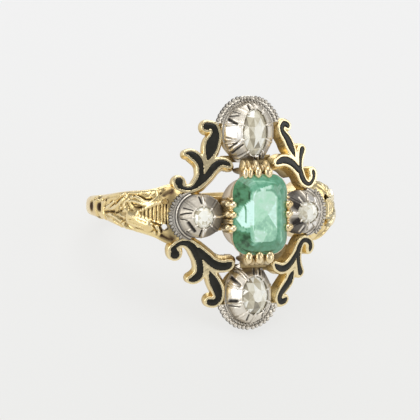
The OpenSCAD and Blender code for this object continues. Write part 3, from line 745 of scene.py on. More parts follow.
def panelFields(shape):
    place = intoPanel(*shape["sides"])
    leaf, stem, branch = (curve(roundEnds([place(row) for row in shape[part]]), 5)
                          for part in ("leaf", "stem", "branch"))
    dx, dy, dr = place(shape["dot"])
    dot = np.array([(dx, dy, dr), (dx + 0.001, dy, dr)])
    lines = (leaf, stem, branch, dot)

    def enamelField(x, y):
        scroll = softMin(ribbonField(x, y, stem), ribbonField(x, y, branch), panelLook["scrollSoft"])
        scroll = softMin(scroll, ribbonField(x, y, dot), panelLook["dotSoft"])
        return np.minimum(scroll, ribbonField(x, y, leaf))

    def plateField(x, y):
        f = ribbonField(x, y, lines[0])
        for line in lines[1:]:
            f = softMin(f, ribbonField(x, y, line), panelLook["plateSoft"])
        return f - panelLook["border"]

    def branchField(x, y):
        return ribbonField(x, y, branch)

    allRows = np.concatenate(lines)
    reach = panelLook["border"] + 0.5
    box = (allRows[:, 0].min() - reach, allRows[:, 1].min() - reach, allRows[:, 0].max() + reach,
           allRows[:, 1].max() + reach)
    return enamelField, plateField, branchField, box


def makePanel(mark, shape):
    enamelField, plateField, branchField, box = panelFields(shape)
    look = panelLook
    xSide, ySide = shape["sides"]

    def top(x, y):
        e, p = enamelField(x, y), plateField(x, y)
        z = -rounding(-p, look["outerRound"]) - rounding(e, look["innerRound"])
        return np.where(e < 0, -look["enamelDepth"], z)

    def bottom(x, y):
        wall = branchField(x, y) - look["border"] + 0.08
        return np.where(wall < 0, -look["wallDepth"], -look["thickness"])

    flip = xSide * ySide < 0
    points, faces, count = slabMesh(plateField, box, look["spacing"], top, bottom, look["draft"])
    # painted highlight on the tops, age and painted shade deeper down
    deep = np.interp(-points[:, 2], look["depths"], look["paintedShades"])
    addPiece("panel_" + mark, fromPanel(points, xSide, ySide), faces.tolist(), gold, ("gold_mount",),
             {"deep": deep}, crease=50, flip=flip)

    def crown(x, y):
        d = np.clip(-enamelField(x, y), 0, None)
        return look["enamelCrown"] * (1 - np.exp(-d / look["crownWidth"])) - look["enamelDrop"]

    points, faces, count = slabMesh(lambda x, y: enamelField(x, y) + 0.005, box, look["spacing"], crown,
                                    lambda x, y: np.full_like(x, -look["enamelDepth"] + 0.02))
    addPiece("enamel_" + mark, fromPanel(points, xSide, ySide), faces.tolist(), enamel,
             ("enamel_leaf_" + mark, "enamel_scroll_" + mark), crease=50, flip=flip)


for mark, shape in panels.items():
    makePanel(mark, shape)
print("panels made")


# Spine, bars and back plates under the head

def makeBackFrame():
    # the frame under the head is darkened all over as painted shade
    look = {"spine": (1.0, 10.0), "bar": (4.8, 0.6), "barAt": 4.7, "discRadius": 2.6, "discAt": 7.15,
            "box": (-3, -10.2, 3, 10.2), "spacing": 0.09, "edge": 0.08, "darkness": 0.42}

    def boxField(x, y, cx, cy, w, h):
        dx, dy = np.abs(x - cx) - w / 2, np.abs(y - cy) - h / 2
        return np.minimum(np.maximum(dx, dy), 0) + np.hypot(np.clip(dx, 0, None), np.clip(dy, 0, None))

    def field(x, y):
        f = boxField(x, y, 0, 0, *look["spine"])
        for side in (-1, 1):
            f = np.minimum(f, np.hypot(x, y - side * look["discAt"]) - look["discRadius"])
            f = np.minimum(f, boxField(x, y, 0, side * look["barAt"], *look["bar"]))
        return f

    points, faces, count = slabMesh(
        field, look["box"], look["spacing"],
        lambda x, y: ring["plateHigh"] - rounding(-field(x, y), look["edge"]),
        lambda x, y: ring["plateLow"] + rounding(-field(x, y), look["edge"]))
    addPiece("back_frame", points, faces.tolist(), gold, ("gold_mount",),
             {"deep": np.full(len(points), look["darkness"])}, crease=50)


makeBackFrame()
print("back frame made")


# Collets

def atCollet(points, place):
    p = np.asarray(points, float)
    if place == "top":
        return turned(p, "z", 90) + np.array((0, ring["endReach"], ring["cupLow"]))
    if place == "bottom":
        return turned(p, "z", -90) + np.array((0, -ring["endReach"], ring["cupLow"]))
    right = turned(p, "y", ring["sideTilt"]) + np.array(ring["sideBase"])
    return right if place == "right" else right * np.array((-1, 1, 1)) + np.array((0, -ring["leftDrop"], 0))


def domeProfile(c):
    # radius and height, from the middle of the base over the dome and down into the seat of the stone
    mouth = c["opening"]
    along = lambda share: mouth + (c["dome"] - mouth) * share
    rows = [(0, 0), (c["dome"] * 0.97, 0), (c["dome"], 0.05), (c["dome"], 0.18 * c["height"]),
            (along(0.96), 0.34 * c["height"]), (along(0.80), 0.56 * c["height"]),
            (along(0.50), 0.78 * c["height"]), (along(0.22), 0.93 * c["height"]),
            (mouth + 0.06, c["height"]), (mouth - 0.02, c["height"] - 0.05)]
    seat = c["height"] - 0.32
    rows += [(mouth - 0.04, seat), (mouth * 0.75, seat - 0.12), (mouth * 0.25, 0.35), (0, 0.33)]
    return rows


def drawnOut(c, x, y, share):
    # neither the foot nor the mouth of a collet is quite round, and they have no common middle
    along, shift, across = c["foot"]
    return (x * (along + (c["stretch"][0] - along) * share) + shift * (1 - share) + c["lean"] * share,
            y * (across + (c["stretch"][1] - across) * share) + c["sway"] * share)


# Marks on the collets, read off the photograph in its pixels: half width and height in
# millimetres, painted shade and painted highlight (1 black, -1 bright), then the way of the mark
colletMarks = {
    "top": [
        (0.08, -0.14, 1, [(247.8, 105), (251.2, 111.8)]),
        (0.07, -0.08, 0.9, [(227.9, 116.2), (238.3, 115.2)]),
        (0.15, -0.14, 1, [(227.9, 118.9), (236.2, 124.1)]), (0.06, -0.06, 0.8, [(232, 111), (240, 113.5)]),
        (0.55, 0, -1, [(231, 129), (234.5, 132.5), (237.5, 136)]),
        (0.08, 0.06, -1, [(230, 150.8), (241.5, 142)]), (0.06, -0.1, 1.2, [(229, 148.6), (240, 140.2)]),
        (0.07, -0.1, 1.2, [(231.8, 153.4), (243, 144.8)]), (0.42, 0, 0.36, [(237, 151), (243.5, 156.5)]),
        (0.45, 0, 0.4, [(268, 150.5), (264.5, 157)]), (0.3, 0, -0.5, [(271, 128), (272, 135), (270, 142)]),
        (0.07, 0.06, -1, [(257.2, 154), (257.4, 163)]), (0.06, -0.1, 1.2, [(254.6, 155), (255.2, 163)]),
        (0.06, -0.1, 1.2, [(259.8, 154.6), (259.6, 162.5)]),
        (0.06, -0.07, 0.7, [(225.6, 137.5), (236.5, 139.6)])],
    "bottom": [
        (0.07, -0.12, 1.1, [(246.6, 320.8), (249, 315.2)]),
        (0.16, -0.08, 0.9, [(230, 301), (236.5, 301.3)]),
        (0.06, -0.08, 1, [(226.7, 306), (233, 306.4), (240, 307.3)]),
        (0.15, -0.14, 1.1, [(231, 277), (239.4, 285)]),
        (0.06, 0.06, -0.8, [(229.5, 280.5), (238.5, 288.5)]), (0.42, 0, 0.65, [(265.5, 272), (270, 279.5)]),
        (0.1, 0.06, -1, [(256.8, 267.5), (257, 275)]), (0.06, -0.1, 1.2, [(253.8, 268), (254.2, 274.5)]),
        (0.06, -0.1, 1.2, [(259.8, 268), (259.8, 274.5)]), (0.55, 0, -1, [(234, 288.5), (237.5, 291.5)]),
        (0.45, 0, -0.2, [(238, 311.5), (246, 316)]), (0.05, -0.08, 0.9, [(262, 316), (266, 309)])],
    "left": [
        (0.06, -0.1, 1.1, [(179.4, 214.9), (185.5, 213.6), (191.5, 213.1)]),
        (0.05, -0.08, 0.9, [(179, 219), (187, 220.3)]),
        (0.04, -0.05, 1, [(179.5, 207), (178.8, 217), (180.5, 227), (185.5, 234.5), (193, 237.7)]),
        (0.04, -0.05, 0.8, [(182.5, 201.5), (188, 197.5), (196, 196)]),
        (0.14, -0.14, 1.2, [(188.3, 223), (194.6, 231.4)]), (0.55, 0, 0.34, [(186, 204.5), (198, 202.5)]),
        (0.05, -0.06, 0.9, [(183, 208), (193, 210.5)]), (0.06, -0.08, 0.9, [(186.5, 231.5), (193, 237.5)]),
        (0.07, -0.1, 1, [(199, 196.8), (201.5, 203)]), (0.07, -0.1, 1, [(199.5, 236.5), (202, 230)]),
        (0.55, 0, 0.58, [(211, 201.5), (217.5, 207.5), (219.5, 211)]),
        (0.55, 0, 0.58, [(211, 232.5), (217.5, 226.5), (219.5, 223)]),
        (0.11, 0.08, -1.3, [(213.5, 217), (223.5, 217)]),
        (0.1, 0.06, -1.2, [(202.5, 197.5), (205.5, 204.5)]), (0.1, 0.06, -1.2, [(202.5, 236), (206, 229.5)])],
    "right": [
        (0.6, 0, 0.8, [(294.5, 196), (301, 203)]), (0.6, 0, 0.8, [(294.5, 231), (301, 225)]),
        (0.3, 0, 0.75, [(293.5, 206), (300.5, 208.5)]), (0.3, 0, 0.75, [(293.5, 221), (300.5, 220)]),
        (0.08, 0.06, -1, [(289.5, 213.8), (300.5, 213.6)]),
        (0.07, 0.05, -1, [(299, 197.5), (303.5, 203.5)]), (0.07, 0.05, -1, [(299, 231.5), (303.5, 225.5)]),
        (0.06, -0.08, 1, [(306.5, 193.5), (307.5, 202)]), (0.06, -0.08, 1, [(306.5, 236), (307.5, 227)]),
        (0.05, -0.08, 0.9, [(315, 200.5), (312, 206)]), (0.05, -0.08, 0.9, [(315, 228.5), (312, 223)]),
        (0.6, 0, -1, [(313, 199), (317.5, 213), (313, 229)])],
}


def marksAt(px, py, marks):
    # height and shade of the marks at photo pixels
    height, shade = np.zeros_like(px), np.zeros_like(px)
    for width, rise, dark, line in marks:
        line = np.array([(*p, 0.0) for p in line])
        near = ribbonField(px, py, curve(line, 5) if len(line) > 2 else line) / (width * shot["pixelsPerMm"])
        near = np.exp(-np.clip(near, 0, None) ** 5)
        height += rise * near
        shade += dark * near
    return height, shade


def makeCollet(c, place):
    look = {"around": 360, "along": 70, "flatness": 0.75, "grooveAt": 0.13, "grooveWidth": 0.06,
            "ridge": 0.05, "ridgeWidth": 0.08, "grooveAge": 9, "footDark": 0.35}
    rows = np.array(domeProfile(c))
    lengths = np.concatenate(([0], np.cumsum(np.hypot(*np.diff(rows, axis=0).T))))
    stations = np.unique(np.concatenate((np.linspace(0, lengths[-1], look["along"]), lengths)))[1:-1]
    foot, lip, mouth = lengths[2], lengths[8], lengths[9]

    # the outline at each station, and the facets and cuts round it
    r = np.interp(stations, lengths, rows[:, 0])
    z = np.interp(stations, lengths, rows[:, 1])
    theta = np.linspace(0, 2 * math.pi, look["around"], endpoint=False)
    pitch = 2 * math.pi / c["facets"]
    t = np.mod(theta + pitch / 2, pitch) - pitch / 2      # 0 on a ridge between two facets
    flat = math.cos(pitch / 2) / np.cos(pitch / 2 - np.abs(t))
    outside = (stations > foot) & (stations < mouth)
    share = np.clip((stations - foot) / (lip - foot), 0, 1)
    bulge = np.sin(np.pi * share) ** 0.7 * outside
    radius = r[:, None] * (1 + (flat[None, :] - 1) * look["flatness"] * bulge[:, None])
    off = np.abs(np.abs(t)[None, :] * radius - look["grooveAt"]) / look["grooveWidth"]
    groove = np.exp(-off ** 2) * bulge[:, None]
    ridge = np.exp(-(t[None, :] * radius / look["ridgeWidth"]) ** 2) * bulge[:, None]
    radius = radius - c["groove"] * groove + look["ridge"] * ridge
    x, y = drawnOut(c, radius * np.cos(theta), radius * np.sin(theta), share[:, None] ** 1.5)
    points = np.stack((x, y, np.repeat(z[:, None], len(theta), 1)), -1).reshape(-1, 3)

    # faces between the stations, and round the middle points that close both ends
    n, m = len(theta), len(stations)
    i, j = np.meshgrid(np.arange(m - 1), np.arange(n), indexing="ij")
    a, b = i * n + j, i * n + (j + 1) % n
    faces = np.stack((a, b, b + n, a + n), -1).reshape(-1, 4).tolist()
    points = np.concatenate((points, [(0, 0, 0), (0, 0, rows[-1][1])]))
    faces += [(m * n, (k + 1) % n, k) for k in range(n)]
    faces += [((m - 1) * n + k, (m - 1) * n + (k + 1) % n, m * n + 1) for k in range(n)]
    # darker towards the foot of the dome
    low = np.clip(1 - share * 2.2, 0, 1) * outside
    deep = groove * look["grooveAge"] * c["groove"] + low[:, None] * look["footDark"] + c["darkness"]
    deep = np.clip(deep, 0, 1).ravel()
    deep = np.concatenate((deep, [0.2, 0]))

    # marks, cuts with painted shade and painted highlights, on the side that the camera sees
    slope = np.gradient(np.stack((r, z), -1), axis=0)
    slope /= np.hypot(*slope.T)[:, None]
    normal = np.stack((slope[:, 1, None] * np.cos(theta), slope[:, 1, None] * np.sin(theta),
                       np.repeat(-slope[:, :1], n, 1)), -1).reshape(-1, 3)
    placed = atCollet(points, place)
    towards = (atCollet(points[:m * n] + normal, place) - placed[:m * n]) @ shotBack
    height, shade = marksAt(*onPhoto(placed[:m * n]), colletMarks[place])
    seen = np.clip(towards * 6, 0, 1) * np.repeat(outside, n)
    points[:m * n] += normal * (height * seen)[:, None]
    deep[:m * n] = np.clip(deep[:m * n] * (1 - 0.6 * seen) + shade * seen, -1, 1)
    flip = place == "left"
    addPiece("collet_dome_" + place, atCollet(points, place), faces, c["finish"],
             ("collet_" + place,), {"deep": deep}, crease=40, flip=flip)
    makeFlange(c, place, flip)
    makeGrains(c, place, flip)


def makeFlange(c, place, flip):
    look = {"collar": 0.22, "soft": 0.15, "grooveAt": 0.24, "ridgeAt": 0.13, "edge": 0.1, "spacing": 0.06,
            "grooveAge": 0.7, "underShade": 0.4}

    def fromDome(x, y):
        # distance from the foot of the dome
        return np.hypot(x, y / c["foot"][2]) - c["dome"]

    def field(x, y):
        start, full = c["collar"]
        rim = np.maximum(np.hypot(x - c["rimAt"], y) - c["rim"], c["rimFrom"] - x)
        collar = look["collar"] * np.clip((x - start) / (full - start), 0, 1) - 0.10
        return np.maximum(softMin(rim, fromDome(x, y) - collar, look["soft"]), x - c["edge"])

    def top(x, y):
        distance = fromDome(x, y)
        rings = 0.06 * bell(distance, look["grooveAt"], 0.04) + 0.05 * bell(distance, 0.02, 0.04)
        rings -= c["ridge"] * bell(distance, look["ridgeAt"], 0.05)
        return ring["flange"] - rings - rounding(-field(x, y), look["edge"])

    reach = max(c["rim"], c["dome"] + 0.12) + 0.1
    points, faces, count = slabMesh(
        field, (-reach, -reach, c["rimAt"] + reach, reach), look["spacing"], top,
        lambda x, y: 0.4 * rounding(-field(x, y), look["edge"]))
    distance, darkness = fromDome(points[:, 0], points[:, 1]), look["grooveAge"]
    deep = darkness * bell(distance, look["grooveAt"], 0.05) + darkness * bell(distance, 0.01, 0.05)
    deep += 2 * c["darkness"] - 12 * c["ridge"] * bell(distance, look["ridgeAt"], 0.05)
    # painted shade on the underside
    deep[count:] = look["underShade"]
    addPiece("collet_flange_" + place, atCollet(points, place), faces.tolist(), silver,
             ("collet_" + place,), {"deep": np.clip(deep, -1, 1)}, crease=50, flip=flip)


def ball(radius, around=12, down=8):
    # points and faces of a ball
    points = [(0, 0, radius)]
    for i in range(1, down):
        a = math.pi * i / down
        points += [(radius * math.sin(a) * math.cos(2 * math.pi * k / around),
                    radius * math.sin(a) * math.sin(2 * math.pi * k / around), radius * math.cos(a))
                   for k in range(around)]
    points.append((0, 0, -radius))
    faces = [(0, 1 + k, 1 + (k + 1) % around) for k in range(around)]
    for i in range(down - 2):
        for k in range(around):
            a, b = 1 + i * around + k, 1 + i * around + (k + 1) % around
            faces.append((a, a + around, b + around, b))
    last = len(points) - 1
    start = 1 + (down - 2) * around
    faces += [(last, start + (k + 1) % around, start + k) for k in range(around)]
    return np.array(points), faces


def merged(parts):
    # one mesh of several
    points, faces, count = [], [], 0
    for p, f in parts:
        points.append(p)
        faces += [tuple(v + count for v in face) for face in f]
        count += len(p)
    return np.concatenate(points), faces


def makeGrains(c, place, flip):
    # milgrain on the flange, then the grains that hold the stone
    look = {"seed": 7, "uneven": 0.16, "shift": 0.05, "pitch": 1.95, "beadFootDark": 1.5,
            "grain": 0.13, "grainShape": (1.5, 0.7, 0.7), "grainAge": -0.4}
    rng = np.random.default_rng(look["seed"])
    parts = []
    for radius, arc, bead in c["beads"]:
        count = int(radius * math.radians(2 * arc) / (bead * look["pitch"]))
        for k in range(count):
            a = math.radians(arc * (2 * (k + 0.5 + 0.3 * (rng.random() - 0.5)) / count - 1))
            size = bead * (1 + look["uneven"] * (rng.random() - 0.6))
            p, f = ball(size, 10, 6)
            x = c["rimAt"] + radius * math.cos(a) + look["shift"] * (rng.random() - 0.5)
            x = min(x, c["edge"] - size)
            p = turned(p * np.array((c["beadShape"], 1, 0.9)), "z", math.degrees(a))
            parts.append((p + np.array((x, radius * math.sin(a), ring["flange"] - 0.05)), f))
    points, faces = merged(parts)
    # the beads are darker towards the flange, and lighter where rubbed
    deep = look["beadFootDark"] * np.clip((ring["flange"] + 0.14 - points[:, 2]) / 0.18, 0, 1) - c["beadWear"]
    addPiece("milgrain_" + place, atCollet(points, place), faces, silver,
             ("collet_" + place,), {"deep": deep}, crease=80, flip=flip)
    parts = []
    for k in range(c["facets"]):
        a = 2 * math.pi * k / c["facets"]
        p, f = ball(look["grain"], 12, 8)
        x, y = drawnOut(c, c["opening"] * math.cos(a), c["opening"] * math.sin(a), 1)
        p = turned(p * np.array(look["grainShape"]), "z", math.degrees(a))
        parts.append((p + np.array((x, y, c["height"])), f))
    points, faces = merged(parts)
    addPiece("grains_" + place, atCollet(points, place), faces, silver,
             ("collet_" + place,), {"deep": np.full(len(points), look["grainAge"])}, crease=80, flip=flip)


def makeDiamond(c, place):
    look = {"girdle": 0.06, "tableShare": 0.36, "midShare": 0.72, "play": 0.05, "sunk": 0.5, "raised": 0.30,
            "jitter": 0.06, "seed": 3, "contrast": 1.1}
    rng = np.random.default_rng(look["seed"] + ord(place[0]))
    r, base = c["opening"] - look["play"], c["height"] - look["sunk"] + look["raised"]
    loops = [       # number of points, radius, height, turn in steps
        (8, 0.10 * r, base - 0.42 * r, 0), (8, 0.55 * r, base - 0.25 * r, 0.5), (16, r, base, 0),
        (16, r, base + look["girdle"], 0), (8, look["midShare"] * r, base + look["girdle"] + 0.30 * r, 0.5),
        (8, look["tableShare"] * r, base + look["girdle"] + 0.42 * r, 0)]
    points, starts = [], []
    for count, radius, z, shift in loops:
        starts.append(len(points))
        for k in range(count):
            a = 2 * math.pi * (k + shift) / count
            shake = look["jitter"] * r * (rng.random(3) - 0.5) * (0 if count == 16 else 1)
            x, y = drawnOut(c, radius * math.cos(a) + shake[0], radius * math.sin(a) + shake[1], 1)
            points.append((x, y, z + shake[2] * 0.5))
    faces = [tuple(reversed(range(8)))]
    s = starts
    for k in range(8):
        n = (k + 1) % 8
        # culet to lower ring: the lower ring lies half a step on
        faces.append((s[0] + k, s[0] + n, s[1] + k))
        faces.append((s[0] + n, s[1] + n, s[1] + k))
        # lower ring to the girdle of 16 points
        g0, g1, g2 = s[2] + 2 * k, s[2] + (2 * k + 1) % 16, s[2] + (2 * k + 2) % 16
        faces.append((s[1] + k, g1, g0))
        faces.append((s[1] + k, g2, g1))
        faces.append((s[1] + k, s[1] + n, g2))
        # crown: mid ring to girdle, then table
        h0, h1, h2 = s[3] + 2 * k, s[3] + (2 * k + 1) % 16, s[3] + (2 * k + 2) % 16
        faces.append((h0, h1, s[4] + k))
        faces.append((h1, h2, s[4] + k))
        faces.append((h2, s[4] + n, s[4] + k))
        faces.append((s[4] + k, s[4] + n, s[5] + n))
        faces.append((s[5] + k, s[4] + k, s[5] + n))
    for k in range(16):
        faces.append((s[2] + k, s[2] + (k + 1) % 16, s[3] + (k + 1) % 16, s[3] + k))
    faces.append(tuple(s[5] + k for k in range(8)))
    fixed = []      # the faces, all turned outward
    centre = np.array((0, 0, base))
    p = np.array(points)
    for f in faces:
        a, b, d = p[f[0]], p[f[1]], p[f[2]]
        normal = np.cross(b - a, d - a)
        middle = p[list(f)].mean(0)
        fixed.append(f if normal @ (middle - centre) > 0 else tuple(reversed(f)))
    # painted light and shade of each facet, the table lightest
    facetShades = np.clip(c["bright"] + look["contrast"] * (rng.random(len(fixed)) - 0.55), 0.05, 1)
    facetShades[-1] = min(1, c["bright"] + 0.15)
    addPiece("stone_" + place, atCollet(p, place), fixed, diamondStone, ("diamond_" + place,),
             crease=0, flip=place == "left", facetShades=facetShades)


for place, c in collets.items():
    c["finish"] = satinSilver if place == "left" else silver
    makeCollet(c, place)
    makeDiamond(c, place)
print("collets made")


# Emerald, its cup and its claws
emeraldLook = {
    "width": 5.26, "length": 6.9, "crown": 0.9, "corner": 1.5, "perCorner": 5, "perSide": 24,
    "crownRows": [(0, 0), (0.45, 0.36), (0.78, 0.68), (1, 1)], "crownSteps": 19, "tableSteps": 13,
    "tableIn": (1.45, 1.15), "pavilionRows": [(-1.75, 0.86), (-1.2, 0.62), (-0.6, 0.28), (-0.08, 0)],
    "tone": 0.3,
    "paintedFacetLight": [        # painted light and shade of the facets: tone, 0 dark green and 1 nearly white, and outline in photo pixels
        (0.1, [(233, 183), (240, 180), (250.5, 180), (251, 191), (250, 201), (243, 207), (233, 207)]),
        (0, [(248, 187), (250.5, 188), (250.5, 201), (248.5, 200)]),
        (0.01, [(237, 188), (241.5, 190), (240, 195), (236, 193)]),
        (0.08, [(233, 230), (240, 227), (252, 230), (252.5, 244), (250, 253), (240, 252), (233, 247)]),
        (0, [(240, 238), (247, 236), (249, 244), (243, 246)]),
        (0.38, [(250.5, 180.5), (273, 180), (276, 186), (254, 191.5), (250, 191)]),
        (0.86, [(259, 189), (272.5, 184.6), (273, 188.2), (262, 191.3)]),
        (0.26, [(273, 180), (284, 185), (285, 196), (277, 193), (274, 187)]),
        (0.46, [(233, 207), (243, 206), (250.5, 200), (251, 204), (244, 206), (236, 218)]),
        (0.5, [(235, 219), (240, 226), (246, 229), (254, 226), (254, 233), (245, 232), (234, 230)]),
        (0.6, [(250.4, 193), (254, 192.7), (254, 228.2), (256.7, 242.7), (252, 246), (250, 230),
               (250, 205)]),
        (0.78, [(254, 192.7), (272.2, 191.4), (276.7, 197.3), (276.7, 213.6), (268.5, 214.5), (262, 207),
                (254, 206)]),
        (0.69, [(254, 206), (262, 207), (268.5, 214.5), (262, 221), (254, 222)]),
        (0.57, [(254, 222), (262, 221), (268.5, 214.5), (276.7, 227.3), (275.5, 241.8), (263, 242.5),
                (267.6, 232.7), (255, 229)]),
        (0.8, [(254.9, 229), (267.6, 232.7), (263, 242.7), (256.3, 241.8)]),
        (0.9, [(268.5, 214.5), (276.7, 200), (276.7, 227.3)]),
        (1, [(236.3, 218.2), (244, 206.4), (250.4, 200.5), (254, 201), (254, 225), (245.8, 228.6),
             (239.5, 224.5)]),
        (0.42, [(276.7, 197), (281, 192), (282, 214), (281, 240), (276, 240), (276.7, 213)]),
        (0.3, [(281, 186), (287.5, 195), (287.5, 240), (281, 248), (282, 214)]),
        (0.24, [(256.5, 243), (276, 241), (281, 244), (273, 255), (256, 255), (251, 247)])],
    "lines": [          # painted bright and dark lines along the facets: half width, change of tone, way in photo pixels
        (0.05, 0.3, [(254, 192.7), (253.6, 205), (253.6, 220), (254, 229), (256.7, 242.7)]),
        (0.04, 0.18, [(254, 192.7), (264, 191.6), (272.2, 191.4), (276.7, 197.3)]),
        (0.04, 0.2, [(277.2, 197), (277.2, 213), (276.6, 236)]),
        (0.04, 0.22, [(268.5, 214.5), (272.5, 221), (276.7, 227.3)]),
        (0.04, 0.16, [(255, 229), (262, 231), (267.6, 232.7)]),
        (0.03, 0.2, [(262, 226), (268, 231), (274, 238)]),
        (0.03, 0.2, [(266, 222), (272, 228), (276, 234)]),
        (0.06, -0.95, [(245.3, 207), (246, 214), (245.7, 222.4)]),
        (0.05, 0.3, [(281.4, 232), (281.8, 238), (281.6, 242)]),
        (0.04, -0.25, [(285.5, 192), (286.6, 214), (285.6, 238)]),
        (0.05, 0.2, [(240, 184), (248, 181.8), (262, 181.3), (276, 183)]),
        (0.06, -0.3, [(243, 250), (256, 252.5), (272, 251)])]}


def cushion(halfW, halfL, cornerR, z, perCorner, perSide=1):
    # a rounded rectangle at a height
    loop = []
    for q in range(4):
        sx, sy = (1 if q in (0, 3) else -1), (1 if q < 2 else -1)
        corner = []
        for k in range(perCorner):
            a = math.radians(q * 90 + 90 * k / (perCorner - 1))
            corner.append((sx * (halfW - cornerR) + cornerR * math.cos(a),
                           sy * (halfL - cornerR) + cornerR * math.sin(a), z))
        loop.append(corner)
    out = []
    for q in range(4):
        end, start = loop[q][-1], loop[(q + 1) % 4][0]
        out += loop[q]
        out += [tuple(u + (v - u) * k / perSide for u, v in zip(end, start)) for k in range(1, perSide)]
    return out


def lofted(loops):
    # a closed skin over the loops, its two ends closed from their middles
    n, m = len(loops[0]), len(loops)
    points = [p for loop in loops for p in loop] + [np.mean(loops[0], 0), np.mean(loops[-1], 0)]
    faces = [(j * n + i, j * n + (i + 1) % n, (j + 1) * n + (i + 1) % n, (j + 1) * n + i)
             for j in range(m - 1) for i in range(n)]
    faces += [(m * n, (i + 1) % n, i) for i in range(n)]
    faces += [(m * n + 1, (m - 1) * n + i, (m - 1) * n + (i + 1) % n) for i in range(n)]
    return np.array(points), faces


def within(x, y, outline):
    # whether places lie inside an outline
    inside = np.zeros_like(x, bool)
    for (ax, ay), (bx, by) in zip(outline, outline[1:] + outline[:1]):
        inside ^= ((ay > y) != (by > y)) & (x < (bx - ax) * (y - ay) / (by - ay + 1e-12) + ax)
    return inside


def makeEmerald():
    e = emeraldLook
    w, l, g = e["width"] / 2, e["length"] / 2, ring["girdle"]
    loops = [cushion(w * (1 - s), l - w * s, e["corner"] * (1 - s), g + z, e["perCorner"], e["perSide"])
             for z, s in e["pavilionRows"]]
    rows = np.array(e["crownRows"])
    steps, marks = np.linspace(0, 1, e["crownSteps"]), np.linspace(0, 1, len(rows))
    for z, s in zip(np.interp(steps, marks, rows[:, 0]), np.interp(steps, marks, rows[:, 1])):
        loops.append(cushion(w - s * e["tableIn"][0], l - s * e["tableIn"][1], e["corner"] * (1 - 0.55 * s),
                             g + z * e["crown"], e["perCorner"], e["perSide"]))
    table = np.array(loops[-1])
    middle = table.mean(0)
    shares = np.linspace(0.93, 0.05, e["tableSteps"])       # the table is a fine mesh too
    loops += [[tuple(p) for p in middle + (table - middle) * share] for share in shares]
    points, faces = lofted(loops)
    px, py = onPhoto(points)
    tone = np.full(len(points), e["tone"])
    for shade, outline in e["paintedFacetLight"]:
        tone[within(px, py, outline)] = shade
    tone += marksAt(px, py, [(width, 0, change, line) for width, change, line in e["lines"]])[1]
    addPiece("emerald_stone", points, faces, emeraldStone, ("emerald",), {"tone": tone}, crease=0)


def makeCup():
    w, l, low, g = emeraldLook["width"] / 2, emeraldLook["length"] / 2, ring["cupLow"], ring["girdle"]
    look = {
        "perCorner": 14, "rowsOutside": 7, "paintedShades": (0.5, 0.10, 0.0),
        # how far it stands out from the emerald, sideways and lengthways, radius of its corners, height
        "rows": [(-0.15, -0.42, 2.3, low), (-0.10, -0.36, 2.25, low + 0.6), (-0.05, -0.30, 2.2, low + 1.2),
                 (0.03, -0.08, 1.9, low + 1.9), (0.08, 0.07, 1.66, g - 0.08), (0.06, 0.06, 1.62, g - 0.02),
                 (0.02, 0.02, 1.55, g - 0.02), (-0.12, -0.12, 1.45, g - 0.15), (-0.35, -0.5, 1.7, g - 1.0),
                 (-0.6, -0.9, 1.8, low + 0.35)]}
    loops = [cushion(w + wide, l + long, corner, z, look["perCorner"])
             for wide, long, corner, z in look["rows"]]
    points, faces = lofted(loops)
    # painted shade on the outside, darkest at the foot; the inside is left clear
    deep = np.interp(points[:, 2], (low, low + 1.0, g - 0.3), look["paintedShades"])
    deep[len(loops[0]) * look["rowsOutside"]:-2] = 0
    addPiece("emerald_cup", points, faces, cupSilver, ("claw_setting",), {"deep": deep},
             crease=50)


def makeClaws():
    look = {
        # claws above and below: place across and half width of each, and the rest of the size of a tip
        "top": ((-1.48, 0.27), (-1.04, 0.27), (-0.26, 0.34), (0.76, 0.40)),
        "bottom": ((-1.14, 0.34), (-0.12, 0.40), (0.90, 0.42)), "size": (0.58, 0.34),
        "between": (-0.62, 0.30),       # small lobes between them
        # claws beside the stone: places along it, and the size of a tip
        "left": (0.92, 0.04, -1.12), "right": (0.78, -0.04, -1.18), "bead": 0.34,
        "small": (0.62, 0.42, -0.46, -0.68, 1.42, -1.45)}
    w, l, g = emeraldLook["width"] / 2, emeraldLook["length"] / 2, ring["girdle"]
    parts, deeps = [], []

    def lump(size, place, shade=0.0):
        # a ball drawn out to a size, with painted shade below and its own painted shade, a painted highlight
        # where that is below zero
        p, f = ball(1, 16, 12)
        p = p * np.array(size) + np.array(place)
        parts.append((p, f))
        deeps.append(np.clip((g - 0.25 - p[:, 2]) / 0.7, 0, 1) * 0.7 + shade)

    for side, end in ((1, "top"), (-1, "bottom")):
        out, stem = (l + 0.10, 0.78) if side > 0 else (l + 0.18, 0.60)
        for x, half in look[end]:
            lump((half, *look["size"]), (x, side * (out + 0.05), g + 0.08))        # tip
            lump((half * 1.05, stem, 0.55), (x * 0.97, side * (out + stem - 0.40), g - 0.44), 0.30)
            lump((half * 0.9, 0.30, 1.3), (x, side * (out + 0.2), g - 0.9), 0.1)    # leg
        for x in look["between"]:
            lump((0.22, 0.40, 0.55), (x, side * (out + 0.40), g - 0.45), 0.30)
    for side in (-1, 1):
        for y in look["left" if side < 0 else "right"]:
            lump((look["bead"] + 0.03 * side,) * 3, (side * (w + 0.02), y, g + 0.14))     # tip
            lump((0.30, 0.32, 1.1), (side * (w + 0.20), y, g - 0.75), -0.45)        # leg
            lump((0.28, 0.27, 0.3), (side * (w + 0.42), y + 0.05, g - 0.18), 0.18)  # bead behind the tip
        for y in look["small"]:
            lump((0.18, 0.13, 0.2), (side * (w + 0.1), y, g - 0.08), 0.0)
            lump((0.17, 0.14, 0.8), (side * (w + 0.22), y, g - 0.70), -0.10)
    points, faces = merged(parts)
    addPiece("emerald_claws", points, faces, clawGold, ("claw_setting",),
             {"deep": np.concatenate(deeps)}, crease=80)


